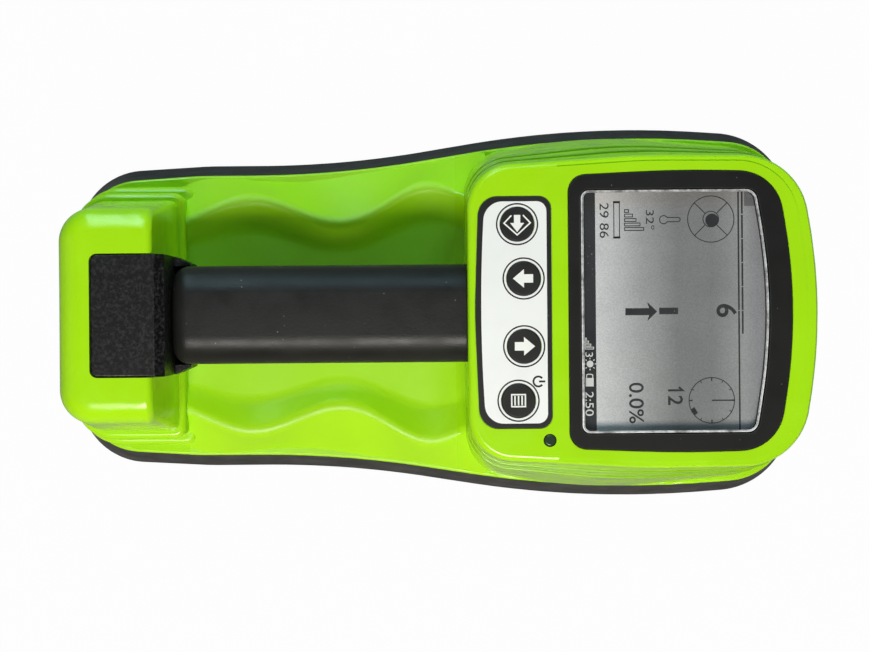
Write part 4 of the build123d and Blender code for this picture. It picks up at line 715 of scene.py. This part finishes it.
def bulged_field(left, right, half_width, bulge, left_radius, right_radius, points=12):
    """White field's outline, in millimetres: a rectangle with a quarter circle at each corner, whose left
    side is pushed out by the bulge at the middle and by nothing at its ends, as a parabola."""
    quarter = np.radians(np.linspace(0, 90, points))
    edge = np.linspace(1, -1, 24)[1:-1, None] * (half_width - left_radius)
    front_centre = (right - right_radius, half_width - right_radius)
    rear_centre = (left + bulge + left_radius, half_width - left_radius)
    front_left = front_centre + right_radius * np.column_stack((np.cos(quarter), np.sin(quarter)))
    rear_left = rear_centre + left_radius * np.column_stack((-np.sin(quarter), np.cos(quarter)))
    rear_edge = np.column_stack((np.full(len(edge), left + bulge), edge))
    rear_right = rear_left[::-1] * (1, -1)
    front_right = front_left[::-1] * (1, -1)
    loop = np.vstack((front_left, rear_left, rear_edge, rear_right, front_right))
    share = np.clip((right - loop[:, 0]) / (right - left - bulge), 0, 1)
    loop[:, 0] -= bulge * share * (1 - (loop[:, 1] / half_width) ** 2)
    return loop


def flat_print(name, outlines, height):
    """Printed shape with holes: closed outlines in millimetres, filled between one and the next inside it,
    made a mesh with the print's depth and then lifted to its height."""
    shape = bpy.data.curves.new(name, "CURVE")
    shape.dimensions = "2D"
    shape.fill_mode = "BOTH"
    shape.extrude = PRINT_DEPTH / 2
    for outline in outlines:
        spline = shape.splines.new("POLY")
        spline.points.add(len(outline) - 1)
        spots = np.zeros((len(outline), 4))
        spots[:, :2] = np.asarray(outline) * MM
        spline.points.foreach_set("co", spots.ravel())
        spline.use_cyclic_u = True
    holder = bpy.data.objects.new(name, shape)
    scene.collection.objects.link(holder)
    bpy.context.view_layer.update()
    mesh = bpy.data.meshes.new_from_object(holder.evaluated_get(bpy.context.evaluated_depsgraph_get()))
    bpy.data.objects.remove(holder)
    bpy.data.curves.remove(shape)
    corners = np.empty(3 * len(mesh.vertices))
    mesh.vertices.foreach_get("co", corners)
    corners[2::3] += height + PRINT_DEPTH / 2
    mesh.vertices.foreach_set("co", corners)
    piece = bpy.data.objects.new(name, mesh)
    scene.collection.objects.link(piece)
    return piece


KEY_HOLE = 7.5
RING_INNER = 8.35
RING_OUTER = 9.0
overlay_dark = moulded("overlay_dark_print", OVERLAY_DARK, 0.45, 0.0006, 0.000006, dust=0.15, constants=DULL)
overlay_white = moulded("overlay_white_print", (0.83, 0.83, 0.81), 0.38, 0.0006, 0.000006, mottle=0.02)
welded("keypad_overlay", "chassis", "overlay_film", overlay_dark)
field = [bulged_field(19.9, 47.9, 47.2, 1.7, 7.5, 4.2)]
field += [circle(centre, RING_OUTER, 64) for centre in key_centres.values()]
dressed(flat_print("overlay_white_field", field, overlay_top), "chassis", "overlay_film", overlay_white)
for key, centre in key_centres.items():
    ring = [circle(centre, RING_INNER, 64), circle(centre, KEY_HOLE, 64)]
    dressed(flat_print(key + "_white_ring", ring, overlay_top), "chassis", "overlay_film", overlay_white)
power_centre = np.array((43.9, -29.4))
power_sign = [
    stroke(arc(power_centre, 2.1, 40.0, 320.0), 0.8),
    stroke([power_centre + (0.3, 0.0), power_centre + (2.9, 0.0)], 0.8),
]
power_height = overlay_top + PRINT_DEPTH
dressed(joined_piece("power_sign", raised(power_sign, power_height)), "chassis", "overlay_film", overlay_dark)

# Keys: four round dark caps that come up through the film, each with a plain white sign printed on top.
key_plastic = moulded("key_plastic", (0.014, 0.014, 0.013), 0.45, 0.0006, 0.000008, mottle=0.1,
                      constants=DULL)
key_print = moulded("key_white_print", (0.82, 0.82, 0.78), 0.45, 0.0006, 0.000004, mottle=0.03)
arrow = np.array([(-4.6, 0.0), (0.1, -3.95), (0.1, -1.8), (4.0, -1.8), (4.0, 1.8), (0.1, 1.8), (0.1, 3.95)])
down_arrow = np.array([
    (-1.35, 3.9), (-1.35, 0.5), (-3.0, 0.5), (0.0, -3.4), (3.0, 0.5), (1.35, 0.5), (1.35, 3.9),
])
open_diamond = np.array([(-2.4, 3.7), (-5.6, 0.4), (0.0, -4.6), (5.6, 0.5), (2.5, 3.8)])
menu_frame = np.array(rectangle((-2.9, -2.5), (2.9, 2.6)))
key_signs = {
    "target_key": [
        plate(key_centres["target_key"] + down_arrow),
        stroke(key_centres["target_key"] + open_diamond, 0.6),
    ],
    "back_key": [plate(key_centres["back_key"] + arrow)],
    "forward_key": [plate(key_centres["forward_key"] + arrow * (-1, 1))],
    "menu_key": [stroke(key_centres["menu_key"] + menu_frame, 0.6, True)],
}
for bar_x in (-1.5, 0.0, 1.5):
    menu_line = np.array([(bar_x, -2.0), (bar_x, 2.1)])
    key_signs["menu_key"].append(stroke(key_centres["menu_key"] + menu_line, 0.65))
for key in KEYS:
    welded(key, key, "key_plastic", key_plastic)
    key_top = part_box(key)[1].z
    dressed(joined_piece(key + "_sign", raised(key_signs[key], key_top)), key, "key_plastic", key_print)
carried_over("keypad_board", board_laminate)
carried_over("key_switches", chip_plastic)
carried_over("keypad_screws", screw_steel)

# Status light: a dark clear lens pressed up through the pod's top beside the keypad.
led_lens = moulded("dark_lens", (0.026, 0.05, 0.026), 0.15, 0.0008, 0.000004)
welded("status_led", "chassis", "led_lens", led_lens)

# Battery pack: three wrapped cells in a black case that slides out on its cap, sealed by a rubber ring and
# held by two fluted thumbscrews, each kept in the cap by a steel clip.
cell_wrap = moulded("cell_shrink_wrap", (0.04, 0.12, 0.32), 0.3, 0.0009, 0.00001)
knob_plastic = moulded("knob_plastic", (0.02, 0.02, 0.021), 0.35, 0.0006, 0.00002)
for pack_piece, pack_finish, pack_slot in (
    ("battery_case", black_plastic, "black_plastic"),
    ("battery_cap", black_plastic, "black_plastic"),
    ("battery_seal", seal_rubber, "seal_rubber"),
    ("battery_cells", cell_wrap, "cell_wrap"),
):
    welded(pack_piece, "battery", pack_slot, pack_finish)
carried_over("battery_contacts", contact_brass)
for side in ("left", "right"):
    welded(side + "_thumbscrew", side + "_thumbscrew", "knob_plastic", knob_plastic)
    carried_over(side + "_screw_clip", screw_steel)


# Studio: a plain pale floor, a warm soft box high on the object's right side, a blue sky box high on its
# left and low light along both sides. One tall strip shows in reflections alone.
def studio_floor():
    """Pale floor: a plain diffuse sheet that, seen straight or through the window, is mostly its own
    white."""
    finish, make, shade = new_finish("pale_floor", {"Base Color": (0.22, 0.22, 0.22, 1.0), "Roughness": 0.9})
    tree = finish.node_tree
    path = make("LightPath")
    parts = []
    for ray, white_share in (("Is Camera Ray", 0.98), ("Is Transmission Ray", 0.98), ("Is Glossy Ray", 0.05)):
        part = make("Math", {0: path.outputs[ray], 1: white_share}, operation="MULTIPLY")
        parts.append(part.outputs["Value"])
    seen = make("Math", {0: parts[0], 1: parts[1]}, operation="MAXIMUM").outputs["Value"]
    share = make("Math", {0: seen, 1: parts[2]}, operation="MAXIMUM").outputs["Value"]
    white = make("Emission", {"Color": (1.0, 1.0, 1.0, 1.0), "Strength": 1.0}).outputs["Emission"]
    shader = tree.nodes["Principled BSDF"].outputs["BSDF"]
    both = make("MixShader", {0: share, 1: shader, 2: white}).outputs["Shader"]
    tree.links.new(both, tree.nodes["Material Output"].inputs["Surface"])
    return finish


FLOOR_HALF = 3.0
floor_mesh = bpy.data.meshes.new("floor")
floor_spots = [
    (-FLOOR_HALF, -FLOOR_HALF, 0),
    (FLOOR_HALF, -FLOOR_HALF, 0),
    (FLOOR_HALF, FLOOR_HALF, 0),
    (-FLOOR_HALF, FLOOR_HALF, 0),
]
floor_mesh.from_pydata(floor_spots, [], [(0, 1, 2, 3)])
floor_mesh.materials.append(studio_floor())
floor = bpy.data.objects.new("floor", floor_mesh)
scene.collection.objects.link(floor)

# Surroundings: dim light all round the object, white where the camera looks past the floor.
world = bpy.data.worlds.new("studio")
scene.world = world
world.use_nodes = True
dim_sky = world.node_tree.nodes["Background"]
dim_sky.inputs["Color"].default_value = (1.0, 1.0, 1.0, 1.0)
dim_sky.inputs["Strength"].default_value = 0.06
white_sky = world.node_tree.nodes.new("ShaderNodeBackground")
white_sky.inputs["Color"].default_value = (1.0, 1.0, 1.0, 1.0)
white_sky.inputs["Strength"].default_value = 1.0
sky_path = world.node_tree.nodes.new("ShaderNodeLightPath")
sky_mix = world.node_tree.nodes.new("ShaderNodeMixShader")
world.node_tree.links.new(sky_path.outputs["Is Camera Ray"], sky_mix.inputs[0])
world.node_tree.links.new(dim_sky.outputs[0], sky_mix.inputs[1])
world.node_tree.links.new(white_sky.outputs[0], sky_mix.inputs[2])
world.node_tree.links.new(sky_mix.outputs[0], world.node_tree.nodes["World Output"].inputs["Surface"])


def soft_light(name, place, aim, size, energy, colour, in_gloss=True, on_dull=True):
    """A soft box at a place, facing the aim point. It can be kept out of reflections or off dull surfaces."""
    lamp = bpy.data.lights.new(name, "AREA")
    lamp.shape = "RECTANGLE"
    lamp.size, lamp.size_y = size
    lamp.energy = energy
    lamp.color = colour
    holder = bpy.data.objects.new(name, lamp)
    holder.visible_glossy = in_gloss
    holder.visible_diffuse = on_dull
    holder.location = place
    holder.rotation_euler = (Vector(aim) - Vector(place)).to_track_quat("-Z", "Y").to_euler()
    scene.collection.objects.link(holder)


soft_light("near_side", (-0.08, -0.7, 1.3), (0.05, 0, 0.1), (0.5, 0.5), 19.5, (1.0, 0.96, 0.9))
soft_light("high_sky", (0.2, 1.25, 1.3), (0, 0, 0.08), (1.2, 0.8), 8.0, (0.45, 0.82, 1.0))
soft_light("low_sky", (0.1, 1.4, 0.22), (0.05, 0, 0.1), (1.8, 0.2), 16.0, (0.7, 0.95, 0.7), in_gloss=False)
soft_light("low_sun", (-0.1, -1.2, 0.13), (0.05, 0, 0.1), (1.6, 0.16), 4.5, (1.0, 0.95, 0.4), in_gloss=False)
soft_light("tall_window", (-0.38, 1.1, 0.9), (-0.1, 0, 0.1), (0.16, 1.7), 8.0, (0.6, 0.85, 1.0),
           on_dull=False)
soft_light("rear", (-1.4, 0.0, 0.7), (0, 0, 0.08), (0.8, 1.2), 0.8, (0.95, 1.0, 0.9))

# Camera: straight above the waist, turned a little, as the photograph was taken.
PHOTO_WIDTH = 869
FOCAL_PIXELS = 1765.0
SHIFT_PIXELS = -7.7
eye = bpy.data.cameras.new("eye")
eye.sensor_width = 36.0
eye.lens = eye.sensor_width * FOCAL_PIXELS / PHOTO_WIDTH
eye.shift_y = SHIFT_PIXELS / PHOTO_WIDTH
camera = bpy.data.objects.new("eye", eye)
camera.location = (0.0, -0.0022, 0.9)
camera.rotation_euler = (0.0, 0.0, -0.0083)
scene.collection.objects.link(camera)
scene.camera = camera
